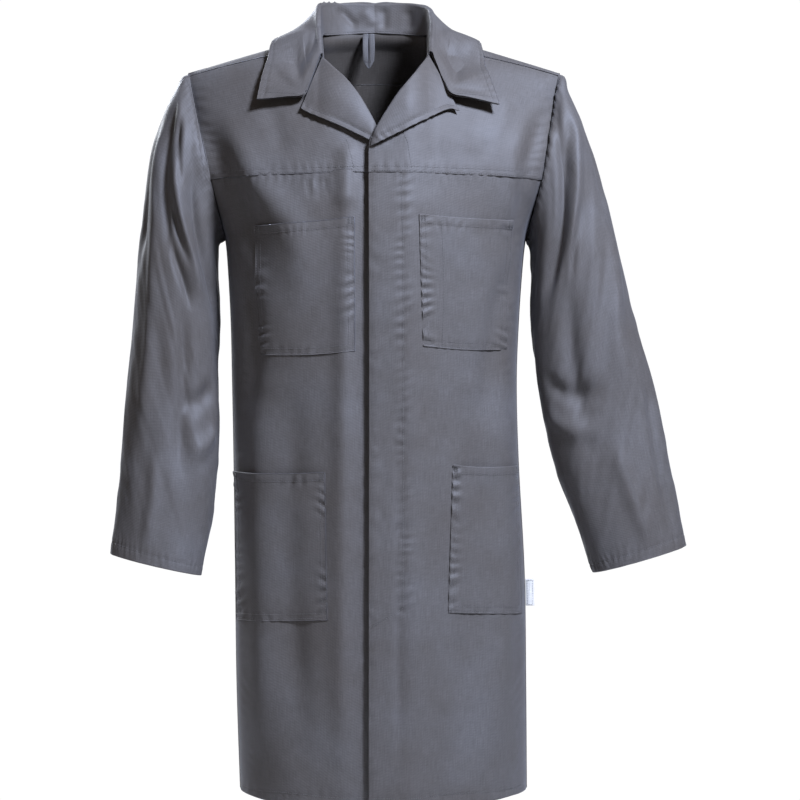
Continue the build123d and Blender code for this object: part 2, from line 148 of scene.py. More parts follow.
def noise(a, b, size, seed):
    """Soft random hills about size across, from -1 to 1."""
    cells = 96
    lattice = np.random.default_rng(seed).uniform(-1, 1, (cells, cells))
    u, v = a / size + 31.7, b / size + 47.3
    i, j = np.floor(u).astype(int), np.floor(v).astype(int)
    s, t = u - i, v - j
    s, t = s * s * (3 - 2 * s), t * t * (3 - 2 * t)
    i, j = i % cells, j % cells
    k, l = (i + 1) % cells, (j + 1) % cells
    return mix(mix(lattice[i, j], lattice[k, j], s), mix(lattice[i, l], lattice[k, l], s), t)


def nearness(a, b, path):
    """Distance of points (a, b) from a path of straight runs, its sign, and the share along it."""
    path = np.array(path, float)
    reached = travelled(path)
    runs = np.diff(reached)
    best = np.full(np.shape(a), np.inf)
    share = np.zeros(np.shape(a))
    sign = np.ones(np.shape(a))
    for k, run in enumerate(runs):
        along = (path[k + 1] - path[k]) / run
        from_a, from_b = a - path[k, 0], b - path[k, 1]
        at = np.clip(from_a * along[0] + from_b * along[1], 0, run)
        off_a, off_b = from_a - along[0] * at, from_b - along[1] * at
        gap = np.hypot(off_a, off_b)
        closer = gap < best
        best = np.where(closer, gap, best)
        share = np.where(closer, (reached[k] + at) / reached[-1], share)
        sign = np.where(closer, np.sign(along[0] * off_b - along[1] * off_a), sign)
    return best, sign, share


def folds(a, b, table):
    """Height added by soft folds: each is a path, a width and a height, fading out at both ends."""
    total = np.zeros(np.shape(a))
    for path, width, height in table:
        gap, _, share = nearness(a, b, spline(path, 24))
        fade = ramp(share, -0.001, 0.30) * ramp(share, 1.001, 0.70)
        total += height * fade * bell(gap, width)
    return total


def puckers(a, b, path, seed, pitch=0.011, height=0.0006, reach=0.012):
    """Short ripples square to a seam, which die away from it."""
    gap, sign, share = nearness(a, b, path)
    along = share * travelled(np.array(path))[-1]
    wander = 0.6 * noise(along, gap * sign, 0.03, seed)
    wave = np.sin(2 * np.pi * (along / pitch + wander + gap * sign / 0.05))
    strength = np.clip(0.55 + 0.9 * noise(along, sign * 0.2, 0.035, seed + 1), 0, 1.4)
    return height * wave * strength * bell(gap, reach)


def groove(a, b, path, depth=0.0005, width=0.0022):
    """The line that a row of stitches pulls into the cloth."""
    return -depth * bell(nearness(a, b, path)[0], width)


# ---- shape of the body -----------------------------------------------------------------------------
def front_bulge(z):
    return 0.088 + 0.057 * ramp(z, 0.060, -0.330) + 0.011 * ramp(z, -0.500, -1.050)


def back_bulge(z):
    return 0.097 + 0.035 * ramp(z, 0.040, -0.260) + 0.018 * ramp(z, -0.500, -1.050)


def side_x(side, z):
    """Half width of the body's pieces: the armhole's edge, turning into the side seam."""
    rise = np.minimum(1.0, (z - PIT_Z) / (SHOULDER_Z - PIT_Z))
    rise = (rise + np.sqrt(rise * rise + PIT_ROUNDING ** 2)) / 2
    foot = reading(SIDES[side], np.minimum(z, -0.21))
    top = ramp(z, -0.24, SHOULDER_Z)
    return mix(foot, 0.206, top) + (SHOULDER_HALF - 0.206) * rise


def girth_half(side, z):
    rise = np.clip((z - PIT_Z) / (SHOULDER_Z - PIT_Z), 0, 1)
    return side_x(side, z) + ARM_ROOM * np.sin(np.pi * rise) ** 2 + SHOULDER_ROOM * rise * rise


def ridge_z(x):
    """Height of the shoulders' ridge, carried on across the neck."""
    reach = np.sqrt(x * x + RIDGE_ROUNDING ** 2)
    inside = np.clip(1 - (reach / NECK_HALF) ** 4, 0, 1) ** 1.5
    return NECK_Z - RIDGE_SLOPE * (reach - NECK_HALF) + NECK_RISE * inside


def fullness(side, x, z):
    """Share of the full depth at x, z: 0 on the ridge and at the sides."""
    drop = np.clip((ridge_z(x) - z) / ARCH, 0, 1)
    arch = (1 - (1 - drop) ** ARCH_POWER) ** (1 / ARCH_POWER)
    share = np.clip(np.abs(x) / girth_half(side, z), 0, 1)
    return arch * (1 - share ** GIRTH_POWER) ** (1 / GIRTH_POWER)


def lift(side, x):
    """How far the left front stands off where it lies on the right one; x is on its own side."""
    if side == "left":
        return LIFT * ramp(x, LIFT_START, LIFT_END)
    return np.zeros(np.shape(x))


def front_at(side, x, z, off=0.0):
    """Points on the outside of a front at x on its own side and height z, moved off towards the viewer."""
    y = MID_Y - mix(-SEAM_OVERLAP, front_bulge(z), fullness(side, x, z)) - lift(side, x) - off
    return np.stack(np.broadcast_arrays(OWN[side] * x, y, z), axis=-1)


def back_at(side, x, z, off=0.0):
    y = MID_Y + mix(0.0002, back_bulge(z), fullness(side, x, z)) + off
    return np.stack(np.broadcast_arrays(OWN[side] * x, y, z), axis=-1)


def yoke_z(x):
    return YOKE_Z - YOKE_FALL * (x / SHOULDER_HALF) ** 2


def back_yoke_z(x):
    return BACK_YOKE_Z - BACK_YOKE_FALL * (x / SHOULDER_HALF) ** 2


def seam_drop(x):
    return mix(SEAM_DROP_NECK, SEAM_DROP_ARM, ramp(np.abs(x), NECK_HALF, SHOULDER_HALF))


# ---- meshes from grids -----------------------------------------------------------------------------
def normals_of(grid, facing):
    """Unit normals of a grid of points, on the side that faces the given direction at the middle."""
    down, across = np.gradient(grid, axis=0), np.gradient(grid, axis=1)
    normals = np.cross(down, across)
    normals /= np.maximum(np.linalg.norm(normals, axis=2, keepdims=True), 1e-12)
    middle = normals[len(grid) // 2, len(grid[0]) // 2]
    return normals if np.dot(middle, facing) > 0 else -normals


def edge_spread(count, start=0.0, end=1.0, tight=0.25):
    """Evenly spaced numbers with one more close to each end, which keeps an edge crisp."""
    inner = np.linspace(0, 1, count - 2)
    step = inner[1] * tight
    return start + (end - start) * np.r_[0, step, inner[1:-1], 1 - step, 1]


def lengths(grid):
    """Distances down and across a grid, in metres, for the weave's coordinates."""
    return np.meshgrid(mean_length(grid.transpose(1, 0, 2)), -mean_length(grid))


def mean_length(grid):
    """Mean distance down a grid from its first row to each row."""
    return np.r_[0, np.cumsum(np.linalg.norm(np.diff(grid, axis=0), axis=2).mean(axis=1))]


def cloth_piece(name, grid, facing, thickness=CLOTH, turn=0.0):
    """A piece of cloth from a grid on its face: two layers and a rounded rim. thickness may be a grid."""
    rows, columns = grid.shape[:2]
    normals = normals_of(grid, np.array(facing, float))
    thick = np.broadcast_to(thickness, (rows, columns))[..., None]
    back = grid - normals * thick
    u, v = lengths(grid)
    if turn:
        u, v = u * np.cos(turn) - v * np.sin(turn), u * np.sin(turn) + v * np.cos(turn)
    index = np.arange(rows * columns).reshape(rows, columns)
    rim = np.r_[index[0, :], index[1:, -1], index[-1, -2::-1], index[-2:0:-1, 0]]
    flat_grid, flat_back = grid.reshape(-1, 3), back.reshape(-1, 3)
    centre = (flat_grid[rim] + flat_back[rim]) / 2
    before, after = np.roll(centre, 1, axis=0), np.roll(centre, -1, axis=0)
    out = np.cross(after - before, normals.reshape(-1, 3)[rim])
    out /= np.maximum(np.linalg.norm(out, axis=1, keepdims=True), 1e-12)
    half = thick.reshape(-1, 1)[rim] / 2
    inside = flat_grid[index[rows // 2, columns // 2]]
    if np.mean(np.sum(out * (centre - inside), axis=1)) < 0:
        out = -out
    edge = centre + out * half * 0.8
    points = np.vstack([flat_grid, flat_back, edge])
    a, b = index[:-1, :-1].ravel(), index[:-1, 1:].ravel()
    c, d = index[1:, 1:].ravel(), index[1:, :-1].ravel()
    face = np.stack([a, b, c, d], axis=1)
    one, two = grid[0, 1] - grid[0, 0], grid[1, 0] - grid[0, 0]
    if np.dot(np.cross(one, two), normals[0, 0]) < 0:
        face = face[:, ::-1]
    count = rows * columns
    under = face[:, ::-1] + count
    ring = np.arange(len(rim)) + 2 * count
    after_rim, after_ring = np.roll(rim, -1), np.roll(ring, -1)
    upper_rim = np.stack([rim, after_rim, after_ring, ring], axis=1)
    lower_rim = np.stack([ring, after_ring, after_rim + count, rim + count], axis=1)
    faces = np.vstack([face, under, upper_rim, lower_rim])
    uv = np.stack([u.ravel(), v.ravel()], axis=1)
    uv_points = np.vstack([uv, uv, uv[rim]])
    piece = mesh_object(name, points, faces, uv_points)
    piece.data.materials.append(None)
    piece.data.materials.append(None)
    # the under faces take the second slot; for the coat's twill it holds a darker copy, painted shade for
    # the coat's inside
    reverse = np.zeros(len(piece.data.polygons), np.int32)
    reverse[len(face):len(face) + len(under)] = 1
    piece.data.polygons.foreach_set("material_index", reverse)
    return piece


def mesh_object(name, points, faces, uv_points=None):
    """A smooth-shaded mesh object; each face is a row of point numbers."""
    mesh = bpy.data.meshes.new(name)
    mesh.from_pydata(points.tolist(), [], [list(face) for face in np.asarray(faces).tolist()])
    mesh.polygons.foreach_set("use_smooth", np.ones(len(mesh.polygons), bool))
    if uv_points is not None:
        layer = mesh.uv_layers.new(name="weave")
        corner = np.zeros(len(mesh.loops), int)
        mesh.loops.foreach_get("vertex_index", corner)
        layer.data.foreach_set("uv", uv_points[corner].ravel().astype(np.float32))
    mesh.validate()
    piece = bpy.data.objects.new(name, mesh)
    bpy.context.scene.collection.objects.link(piece)
    return piece


# ---- thread: rows of stitches laid on a piece ------------------------------------------------------
STITCH = 0.0026             # length of one stitch
STITCH_GAP = 0.0007
THREAD = 0.00030            # half the thread's width


def stitches(name, path, normals):
    """A row of stitches along a path of points, each stitch a small arched thread."""
    reached = travelled(path)
    count = max(2, int(reached[-1] / (STITCH + STITCH_GAP)))
    starts = np.arange(count) * reached[-1] / count
    stations = np.array([0.0, 0.22, 0.78, 1.0])
    heights = np.array([-0.2, 0.75, 0.75, -0.2]) * THREAD
    widths = np.array([0.35, 1.0, 1.0, 0.35]) * THREAD
    at = starts[:, None] + stations[None, :] * STITCH
    middle = np.stack([np.interp(at, reached, path[:, k]) for k in range(3)], axis=-1)
    up = np.stack([np.interp(at, reached, normals[:, k]) for k in range(3)], axis=-1)
    up /= np.linalg.norm(up, axis=2, keepdims=True)
    along = middle[:, -1:] - middle[:, :1]
    side = np.cross(np.broadcast_to(along, up.shape), up)
    side /= np.maximum(np.linalg.norm(side, axis=2, keepdims=True), 1e-12)
    middle = middle + up * heights[None, :, None]
    ring = [side, up, -side, -up]
    corners = np.stack([middle + way * widths[None, :, None] for way in ring], axis=2)
    points = corners.reshape(-1, 3)
    faces = []
    sides = len(ring)
    size = len(stations) * sides
    base = (np.arange(count) * size)[:, None]
    for k in range(len(stations) - 1):
        for s in range(sides):
            t = (s + 1) % sides
            quad = [k * sides + s, k * sides + t, (k + 1) * sides + t, (k + 1) * sides + s]
            faces.append(base + np.array(quad))
    faces.append(base + np.arange(sides)[::-1])
    faces.append(base + np.arange(sides) + size - sides)
    return mesh_object(name, points, np.vstack(faces))


class Face:
    """A grid of points on a piece, read at any place by its two plane coordinates."""

    def __init__(self, grid, facing, plane):
        self.grid = grid
        self.normals = normals_of(grid, np.array(facing, float))
        self.plane = plane

    def path(self, places, step=0.002):
        """Points and normals on the grid along a path given in plane coordinates."""
        places = np.array(places, float)
        reached = travelled(places)
        at = np.linspace(0, reached[-1], max(2, int(reached[-1] / step)))
        wanted = np.column_stack([np.interp(at, reached, places[:, k]) for k in range(2)])
        flat = self.plane.reshape(-1, 2)
        points, normals = self.grid.reshape(-1, 3), self.normals.reshape(-1, 3)
        found, facing = [], []
        for start in range(0, len(wanted), 64):
            block = wanted[start:start + 64]
            gap = np.linalg.norm(flat[None] - block[:, None], axis=2)
            near = np.argsort(gap, axis=1)[:, :4]
            weight = 1 / (np.take_along_axis(gap, near, 1) + 1e-5) ** 2
            weight /= weight.sum(axis=1, keepdims=True)
            base = (flat[near] * weight[..., None]).sum(axis=1)
            spot = (points[near] * weight[..., None]).sum(axis=1)
            spot[:, 0] += block[:, 0] - base[:, 0]
            spot[:, 2] += block[:, 1] - base[:, 1]
            found.append(spot)
            facing.append((normals[near] * weight[..., None]).sum(axis=1))
        return np.vstack(found), np.vstack(facing)

    def sew(self, name, places):
        points, normals = self.path(places)
        return stitches(name, points, normals)


def join(name, pieces):
    """One object from several."""
    with bpy.context.temp_override(active_object=pieces[0], selected_editable_objects=pieces):
        bpy.ops.object.join()
    pieces[0].name = name
    pieces[0].data.name = name
    return pieces[0]


# ---- surface detail of the fronts: x on the front's own side ---------------------------------------
# each fold: its path down the cloth, its half width and its height (a minus is a valley)
FRONT_FOLDS = {
    "left": [
        ([(0.060, -0.24), (0.075, -0.50), (0.060, -0.80), (0.066, -1.02)], 0.022, 0.0030),
        ([(0.120, -0.46), (0.135, -0.70), (0.128, -1.04)], 0.020, -0.0045),
        ([(0.172, -0.40), (0.178, -0.70), (0.170, -1.04)], 0.016, 0.0040),
        ([(0.030, -0.50), (0.022, -0.70), (0.036, -1.04)], 0.014, -0.0030),
        ([(0.190, -0.30), (0.160, -0.42), (0.150, -0.56)], 0.014, -0.0040),
        ([(0.045, -0.520), (0.024, -0.545), (0.000, -0.585)], 0.006, -0.0014),
        ([(0.046, -0.530), (0.030, -0.546), (0.024, -0.562)], 0.003, -0.0012),
        ([(0.012, -0.715), (0.026, -0.690), (0.040, -0.672)], 0.005, -0.0012),
    ],
    "right": [
        ([(0.035, -0.10), (0.036, -0.24), (0.038, -0.60), (0.038, -1.10)], 0.014, 0.0060),
        ([(0.045, -0.50), (0.052, -0.75), (0.042, -1.04)], 0.020, 0.0035),
        ([(0.100, -0.44), (0.110, -0.70), (0.096, -1.03)], 0.020, -0.0050),
        ([(0.155, -0.42), (0.150, -0.70), (0.150, -1.03)], 0.018, 0.0045),
        ([(0.185, -0.30), (0.160, -0.42), (0.172, -0.56)], 0.014, -0.0045),
        ([(0.089, -0.211), (0.086, -0.228), (0.082, -0.246)], 0.0022, -0.0013),
        ([(0.083, -0.211), (0.080, -0.224), (0.077, -0.240)], 0.0022, 0.0012),
        ([(0.075, -0.211), (0.073, -0.228), (0.070, -0.250)], 0.0024, -0.0015),
        ([(0.066, -0.211), (0.064, -0.226), (0.061, -0.246)], 0.0022, -0.0013),
        ([(0.058, -0.211), (0.056, -0.222), (0.055, -0.236)], 0.0022, 0.0011),
    ],
}
YOKE_FOLDS = {
    "left": [
        ([(0.200, -0.075), (0.160, -0.140), (0.140, -0.195)], 0.018, 0.0030),
        ([(0.170, -0.105), (0.156, -0.140), (0.150, -0.195)], 0.012, -0.0025),
    ],
    "right": [
        ([(0.150, -0.105), (0.132, -0.140), (0.120, -0.190)], 0.014, -0.0025),
    ],
}
FOLD_STRENGTH = 1.25
# folds that run on across the yoke's seam, in both pieces alike
CHEST_FOLDS = {
    "left": [
        ([(0.238, -0.100), (0.220, -0.150), (0.205, -0.210), (0.196, -0.300)], 0.012, -0.0050),
        ([(0.215, -0.110), (0.197, -0.160), (0.185, -0.215), (0.180, -0.300)], 0.014, 0.0025),
    ],
    "right": [
        ([(0.222, -0.100), (0.190, -0.160), (0.156, -0.220), (0.114, -0.268), (0.096, -0.320),
          (0.100, -0.400)], 0.021, 0.0065),
        ([(0.236, -0.120), (0.213, -0.170), (0.194, -0.225), (0.160, -0.300),
          (0.138, -0.370)], 0.024, -0.0085),
    ],
}
HEM_STITCH = 0.012          # from the hem to its row of stitches
YOKE_ROWS = (0.0016, 0.0076)        # the two rows of stitches above the yoke's seam
YOKE_GROOVES = (0.0015, 0.0075)     # where they press the cloth in


def placket_row(z):
    """x of the row of stitches that holds the placket, down the left front."""
    return EDGE["left"] + PLACKET_STITCH + 0.003 * ramp(z, -0.20, -0.33)


def edge_swell(x, z):
    """How far the right front swells out beside the left one's edge where the V ends."""
    return 0.0060 * bell(nearness(x, z, [(0.035, -0.185), (0.036, -0.24)])[0], 0.014)


def edge_fall(x):
    """How far the left front's edge turns in."""
    return 0.0014 * ramp(x, 0.003, EDGE["left"]) ** 1.5


def side_at(side, z):
    """Half width of the body's pieces at one height, as a plain number."""
    return float(side_x(side, np.array(z)))


def yoke_line(rise):
    """The yoke's seam across a front, or a line above it."""
    return [(-0.03, yoke_z(0.0) + rise), (0.10, yoke_z(0.10) + rise), (0.24, yoke_z(0.24) + rise)]


def front_relief(side, x, z):
    """Height of a front panel's folds, puckers and stitched lines above its plain shape."""
    total = FOLD_STRENGTH * folds(x, z, FRONT_FOLDS[side]) + folds(x, z, CHEST_FOLDS[side])
    if side == "right":
        total = total + edge_swell(x, z)
    total = total + 0.0012 * noise(x * 1.6, z * 0.55, 0.055, 11) + 0.0005 * noise(x, z, 0.022, 12)
    total = total + puckers(x, z, yoke_line(0.0), 21, 0.012, 0.0007, 0.014)
    hem = [(-0.03, HEM_Z + HEM_STITCH), (0.24, HEM_Z + HEM_STITCH)]
    total = total + puckers(x, z, hem, 23, 0.013, 0.0006, 0.010) + groove(x, z, hem)
    outer = [(side_at(side, height) - 0.016, height) for height in (-0.25, -0.5, -0.8, -1.04)]
    total = total + puckers(x, z, outer, 29, 0.019, 0.0004, 0.010)
    if side == "left":
        row = [(placket_row(-0.20), -0.20), (placket_row(-0.40), -0.40), (placket_row(-0.79), -0.785),
               (0.020, -0.800), (-0.006, PLACKET_END_Z)]
        total = total + puckers(x, z, row, 25, 0.0145, 0.0011, 0.010) + groove(x, z, row, 0.0007)
        edge = [(EDGE["left"] + 0.002, -0.22), (EDGE["left"] + 0.002, -1.04)]
        total = total + puckers(x, z, edge, 27, 0.030, 0.0008, 0.014)
        total = total - edge_fall(x)
        over_studs = ramp(x, 0.034, 0.026) * ramp(x, -0.002, 0.004)
        total = mix(total, np.maximum(total, -0.0005), over_studs)
    return tucked(side, x, z, total)


def yoke_relief(side, x, z):
    total = folds(x, z, YOKE_FOLDS[side] + CHEST_FOLDS[side])
    if side == "right":
        total = total + edge_swell(x, z)
    else:
        total = total - edge_fall(x) * ramp(z, -0.165, -0.180)
    total = total + 0.0012 * noise(x, z, 0.050, 31) + 0.0004 * noise(x, z, 0.020, 32)
    armhole_line = [(side_at(side, height) - 0.005, height) for height in (-0.07, -0.11, -0.15, -0.21)]
    total = total + puckers(x, z, armhole_line, 33, 0.014, 0.0010, 0.014)
    for row in YOKE_GROOVES:
        total = total + groove(x, z, yoke_line(row), 0.0004, 0.0016)
    total = total + puckers(x, z, yoke_line(0.004), 35, 0.012, 0.0006, 0.009)
    return tucked(side, x, z, total)


def tucked(side, x, z, relief, tuck=TUCK):
    """Relief that dies away at the side seam and the armhole, where it tucks in under the next piece."""
    from_side = np.sqrt(np.clip(1 - (np.abs(x) / side_x(side, z)) ** 2, 0, 1))
    inner = ramp(from_side, 0.0, 0.35)
    return relief * inner - tuck * (1 - inner)


def plane_of(side, grid):
    return np.stack([grid[..., 0] * OWN[side], grid[..., 2]], axis=-1)


def front_panel_grid(side, start, top, bottom, columns, rows):
    """Grid on a front from its edge to the side seam, with the front's own relief."""
    turns = edge_spread(columns, start, np.pi / 2)
    down = edge_spread(rows)
    grid = np.zeros((rows, columns, 3))
    for i, share in enumerate(down):
        reach = side_x(side, np.array(-0.21)) * np.sin(turns)
        z = mix(top(reach), bottom(reach), share)
        x = side_x(side, z) * np.sin(turns)
        grid[i] = front_at(side, x, z)
    normals = normals_of(grid, TO_FRONT)
    x, z = grid[..., 0] * OWN[side], grid[..., 2]
    return grid + normals * front_relief(side, x, z)[..., None]


def hem_z(x):
    """Height of the hem across a front: it waves a little and rises to the side seam."""
    return HEM_Z + 0.006 * ramp(np.abs(x), 0.15, 0.21) - 0.002 * np.sin(np.abs(x) * 40)


def hem_thickness(z):
    """Thickness of a panel by height: the hem is turned up and twice as thick."""
    return CLOTH + 0.0009 * ramp(z - HEM_Z, 0.016, 0.010)


COAT = {}                   # every finished piece by name


def make_front_panel(side):
    start = np.arcsin(EDGE[side] / side_x(side, np.array(-0.21)))
    grid = front_panel_grid(side, start, lambda x: yoke_z(x) + 0.003, hem_z, 88, 285)
    face = Face(grid, TO_FRONT, plane_of(side, grid))
    name = f"{side}_front_panel"
    COAT[name] = cloth_piece(name, grid, TO_FRONT, hem_thickness(grid[..., 2]))
    rows = [[(x, float(hem_z(x)) + HEM_STITCH) for x in np.linspace(EDGE[side] + 0.003, 0.200, 18)]]
    if side == "left":
        rows.append([(placket_row(z), z) for z in np.linspace(yoke_z(0.04) - 0.001, -0.785, 30)]
                    + [(0.028, -0.794), (0.010, -0.803), (EDGE["left"] + 0.002, PLACKET_END_Z)])
    lines = [face.sew(f"{side}_row_{k}", places) for k, places in enumerate(rows)]
    COAT[f"{side}_front_stitching"] = join(f"{side}_front_stitching", lines)


# the inner edge of each front, from the neck point down: x by height
NECKLINE = {
    "left": [(-0.020, 0.077), (-0.045, 0.075), (-0.098, 0.036), (-0.148, 0.005), (-0.170, -0.005),
             (-0.215, -0.006)],
    "right": [(-0.020, 0.077), (-0.047, 0.070), (-0.082, 0.040), (-0.148, -0.004), (-0.172, -0.022),
              (-0.215, -0.030)],
}


def make_front_yoke(side):
    columns, rows = 86, 62
    grid = np.zeros((rows, columns, 3))
    across = edge_spread(columns)
    bottom_x = mix(EDGE[side], side_x(side, np.array(YOKE_Z)), across)
    top_x = mix(NECK_HALF, SHOULDER_HALF, across)
    top = ridge_z(top_x) - seam_drop(top_x)
    bottom = yoke_z(bottom_x)
    for i, share in enumerate(edge_spread(rows)):
        z = mix(top, bottom, share)
        x = mix(reading(NECKLINE[side], z), side_x(side, z), across)
        grid[i] = front_at(side, x, z)
    normals = normals_of(grid, TO_FRONT)
    x, z = grid[..., 0] * OWN[side], grid[..., 2]
    above = z - yoke_z(x)
    proud = 0.0013 * ramp(above, 0.030, 0.0)
    grid = grid + normals * (yoke_relief(side, x, z) + proud)[..., None]
    face = Face(grid, TO_FRONT, plane_of(side, grid))
    thick = CLOTH + 0.0006 * ramp(above, 0.011, 0.008)
    COAT[f"{side}_front_yoke"] = cloth_piece(f"{side}_front_yoke", grid, TO_FRONT, thick)
    lines = []
    for k, row in enumerate(YOKE_ROWS):
        reach = np.linspace(EDGE[side] + 0.004, side_at(side, YOKE_Z) - 0.003, 14)
        lines.append(face.sew(f"{side}_yoke_row_{k}", [(x, float(yoke_z(x)) + row) for x in reach]))
    inner = {"left": [(0.040, -0.155), (0.046, -0.170), (0.051, -0.204)],
             "right": [(0.036, -0.162), (0.030, -0.185), (0.025, -0.204)]}[side]
    lines.append(face.sew(f"{side}_facing_row", inner))
    shoulder = []
    for share in np.linspace(0.03, 0.97, 12):
        x = mix(NECK_HALF, SHOULDER_HALF, share)
        shoulder.append((x, float(ridge_z(x) - seam_drop(x)) - 0.004))
    lines.append(face.sew(f"{side}_shoulder_row", shoulder))
    COAT[f"{side}_yoke_stitching"] = join(f"{side}_yoke_stitching", lines)


def make_strip(name, side, first_x, last_x, top, bottom, off):
    """A flat strip behind a front's edge."""
    columns, rows = 16, 180
    grid = np.zeros((rows, columns, 3))
    x = edge_spread(columns, first_x, last_x)
    for i, z in enumerate(edge_spread(rows, top, bottom)):
        grid[i] = front_at(side, x, np.full(columns, z))
    normals = normals_of(grid, TO_FRONT)
    ripple = 0.0004 * noise(grid[..., 0], grid[..., 2], 0.03, 41)
    grid = grid + normals * (off + ripple)[..., None]
    COAT[name] = cloth_piece(name, grid, TO_FRONT)


# ---- the back --------------------------------------------------------------------------------------
BACK_FOLDS = [
    ([(0.000, -0.12), (0.006, -0.50), (0.000, -1.03)], 0.030, -0.0060),
    ([(0.085, -0.13), (0.090, -0.55), (0.100, -1.03)], 0.034, 0.0060),
    ([(-0.080, -0.13), (-0.095, -0.55), (-0.096, -1.03)], 0.034, 0.0055),
    ([(0.150, -0.30), (0.140, -0.60), (0.150, -1.03)], 0.022, -0.0050),
    ([(-0.150, -0.26), (-0.146, -0.60), (-0.152, -1.03)], 0.022, -0.0050),
    ([(0.195, -0.20), (0.165, -0.30), (0.120, -0.40)], 0.016, 0.0035),
    ([(-0.195, -0.20), (-0.160, -0.32), (-0.115, -0.42)], 0.016, 0.0035),
]


def back_points(x_share, z):
    """Points on the back: x_share runs from -1 at the wearer's right to 1 at the left."""
    left = side_x("left", z) * np.sin(x_share * np.pi / 2)
    right = side_x("right", z) * np.sin(x_share * np.pi / 2)
    left_point = back_at("left", np.abs(left), z)
    right_point = back_at("right", np.abs(right), z)
    return np.where((x_share >= 0)[..., None], left_point, right_point)


def make_back_panel():
    columns, rows = 176, 270
    share = edge_spread(columns, -1, 1)
    grid = np.zeros((rows, columns, 3))
    top = back_yoke_z(SHOULDER_HALF * np.sin(share * np.pi / 2)) + 0.003
    bottom = HEM_Z + 0.004 * ramp(np.abs(share), 0.7, 1.0)
    for i, down in enumerate(edge_spread(rows)):
        grid[i] = back_points(share, mix(top, bottom, down))
    normals = normals_of(grid, TO_BACK)
    x, z = grid[..., 0], grid[..., 2]
    hem = [(-0.24, HEM_Z + HEM_STITCH), (0.24, HEM_Z + HEM_STITCH)]
    relief = folds(x, z, BACK_FOLDS) + 0.0012 * noise(x, z * 0.5, 0.06, 51) + 0.0004 * noise(x, z, 0.02, 52)
    relief = relief + puckers(x, z, hem, 53, 0.013, 0.0006, 0.010) + groove(x, z, hem)
    seam = [(x_at, float(back_yoke_z(x_at))) for x_at in np.linspace(-0.25, 0.25, 11)]
    relief = relief + puckers(x, z, seam, 55, 0.012, 0.0007, 0.014)
    relief = np.where(x > 0, tucked("left", x, z, relief, 0.0), tucked("right", x, z, relief, 0.0))
    grid = grid + normals * relief[..., None]
    COAT["back_panel"] = cloth_piece("back_panel", grid, TO_BACK, hem_thickness(z))
    face = Face(grid, TO_BACK, np.stack([x, z], axis=-1))
    places = [(x_at, HEM_Z + HEM_STITCH + 0.004 * float(ramp(abs(x_at), 0.17, 0.21))) for x_at in
              np.linspace(-0.178, 0.198, 30)]
    COAT["back_stitching"] = face.sew("back_stitching", places)


def make_back_yoke():
    """Over both shoulders, from the front shoulder seams to the back yoke seam, cut out at the neck."""
    columns, rows = 190, 56
    share = edge_spread(columns, -1, 1)
    x_top = SHOULDER_HALF * np.sin(share * np.pi / 2)
    over = np.abs(x_top) > NECK_HALF
    grid = np.zeros((rows, columns, 3))
    front_part = 14
    neck_x = np.clip(np.abs(x_top) / NECK_HALF, 0, 1)
    neck_y = NECK_DEPTH * (1 - neck_x ** 2.5) ** 0.5 - NECK_DEPTH
    for i in range(rows):
        if i < front_part:
            down = 1 - i / front_part
            x = np.abs(x_top)
            z = ridge_z(x) - seam_drop(x) * down ** 2
            left, right = front_at("left", x, z), front_at("right", x, z)
            left[..., 1] += lift("left", x)
            row = np.where((share >= 0)[:, None], left, right)
        else:
            down = (i - front_part) / (rows - 1 - front_part)
            z = mix(ridge_z(x_top), back_yoke_z(x_top), down ** 1.5)
            row = back_points(share, z)
        grid[i] = row
    # inside the neck the rows gather along the neck seam
    seam_z = 0.002 - 0.012 * neck_x ** 2
    base_back = grid[-1].copy()
    for i in range(rows):
        down = i / (rows - 1)
        seam_point = np.stack([x_top, neck_y, seam_z], axis=-1)
        inner = mix(seam_point, base_back, down)
        shaped = back_points(share, mix(seam_z, base_back[:, 2], down))
        inner[:, 1] = mix(neck_y, shaped[:, 1], ramp(np.full(columns, down), 0, 0.35))
        grid[i] = np.where(over[:, None], grid[i], inner)
    normals = normals_of(grid, TO_TOP)
    x, y, z = grid[..., 0], grid[..., 1], grid[..., 2]
    relief = 0.0010 * noise(x, y + z, 0.05, 61) + 0.0012 * ramp(z - back_yoke_z(x), 0.03, 0.0) * (y > MID_Y)
    grid = grid + normals * relief[..., None]
    COAT["back_yoke"] = cloth_piece("back_yoke", grid, TO_TOP)


# ---- lapels ----------------------------------------------------------------------------------------
# roll line and outer edge of each lapel from the neck to the bottom of the V: x on its own side, z
LAPELS = {
    "left": (
        [(0.0755, -0.047), (0.0600, -0.070), (0.0356, -0.1015), (0.0190, -0.127), (0.0060, -0.1485),
         (-0.002, -0.164)],
        [(0.1144, -0.1236), (0.1000, -0.1215), (0.0700, -0.1365), (0.0400, -0.1520), (0.0160, -0.1640),
         (-0.0030, -0.1735)],
    ),
    "right": (
        [(0.0700, -0.050), (0.0540, -0.066), (0.0373, -0.0819), (0.0190, -0.107), (0.0030, -0.134),
         (-0.006, -0.152)],
        [(0.0966, -0.1209), (0.0850, -0.1275), (0.0620, -0.1375), (0.0400, -0.1470), (0.0180, -0.1580),
         (-0.0040, -0.1690)],
    ),
}
ROLL_RADIUS = 0.0028
ROLL_GAP = 0.0006           # between the front and the lapel's inner layer
LAPEL_SWELL = 0.0045        # how far the widest lapel swells out
LAPEL_WIDTH = 0.075
EDGE_ROW = 0.0065           # from the edge of a lapel or of the collar to its row of stitches


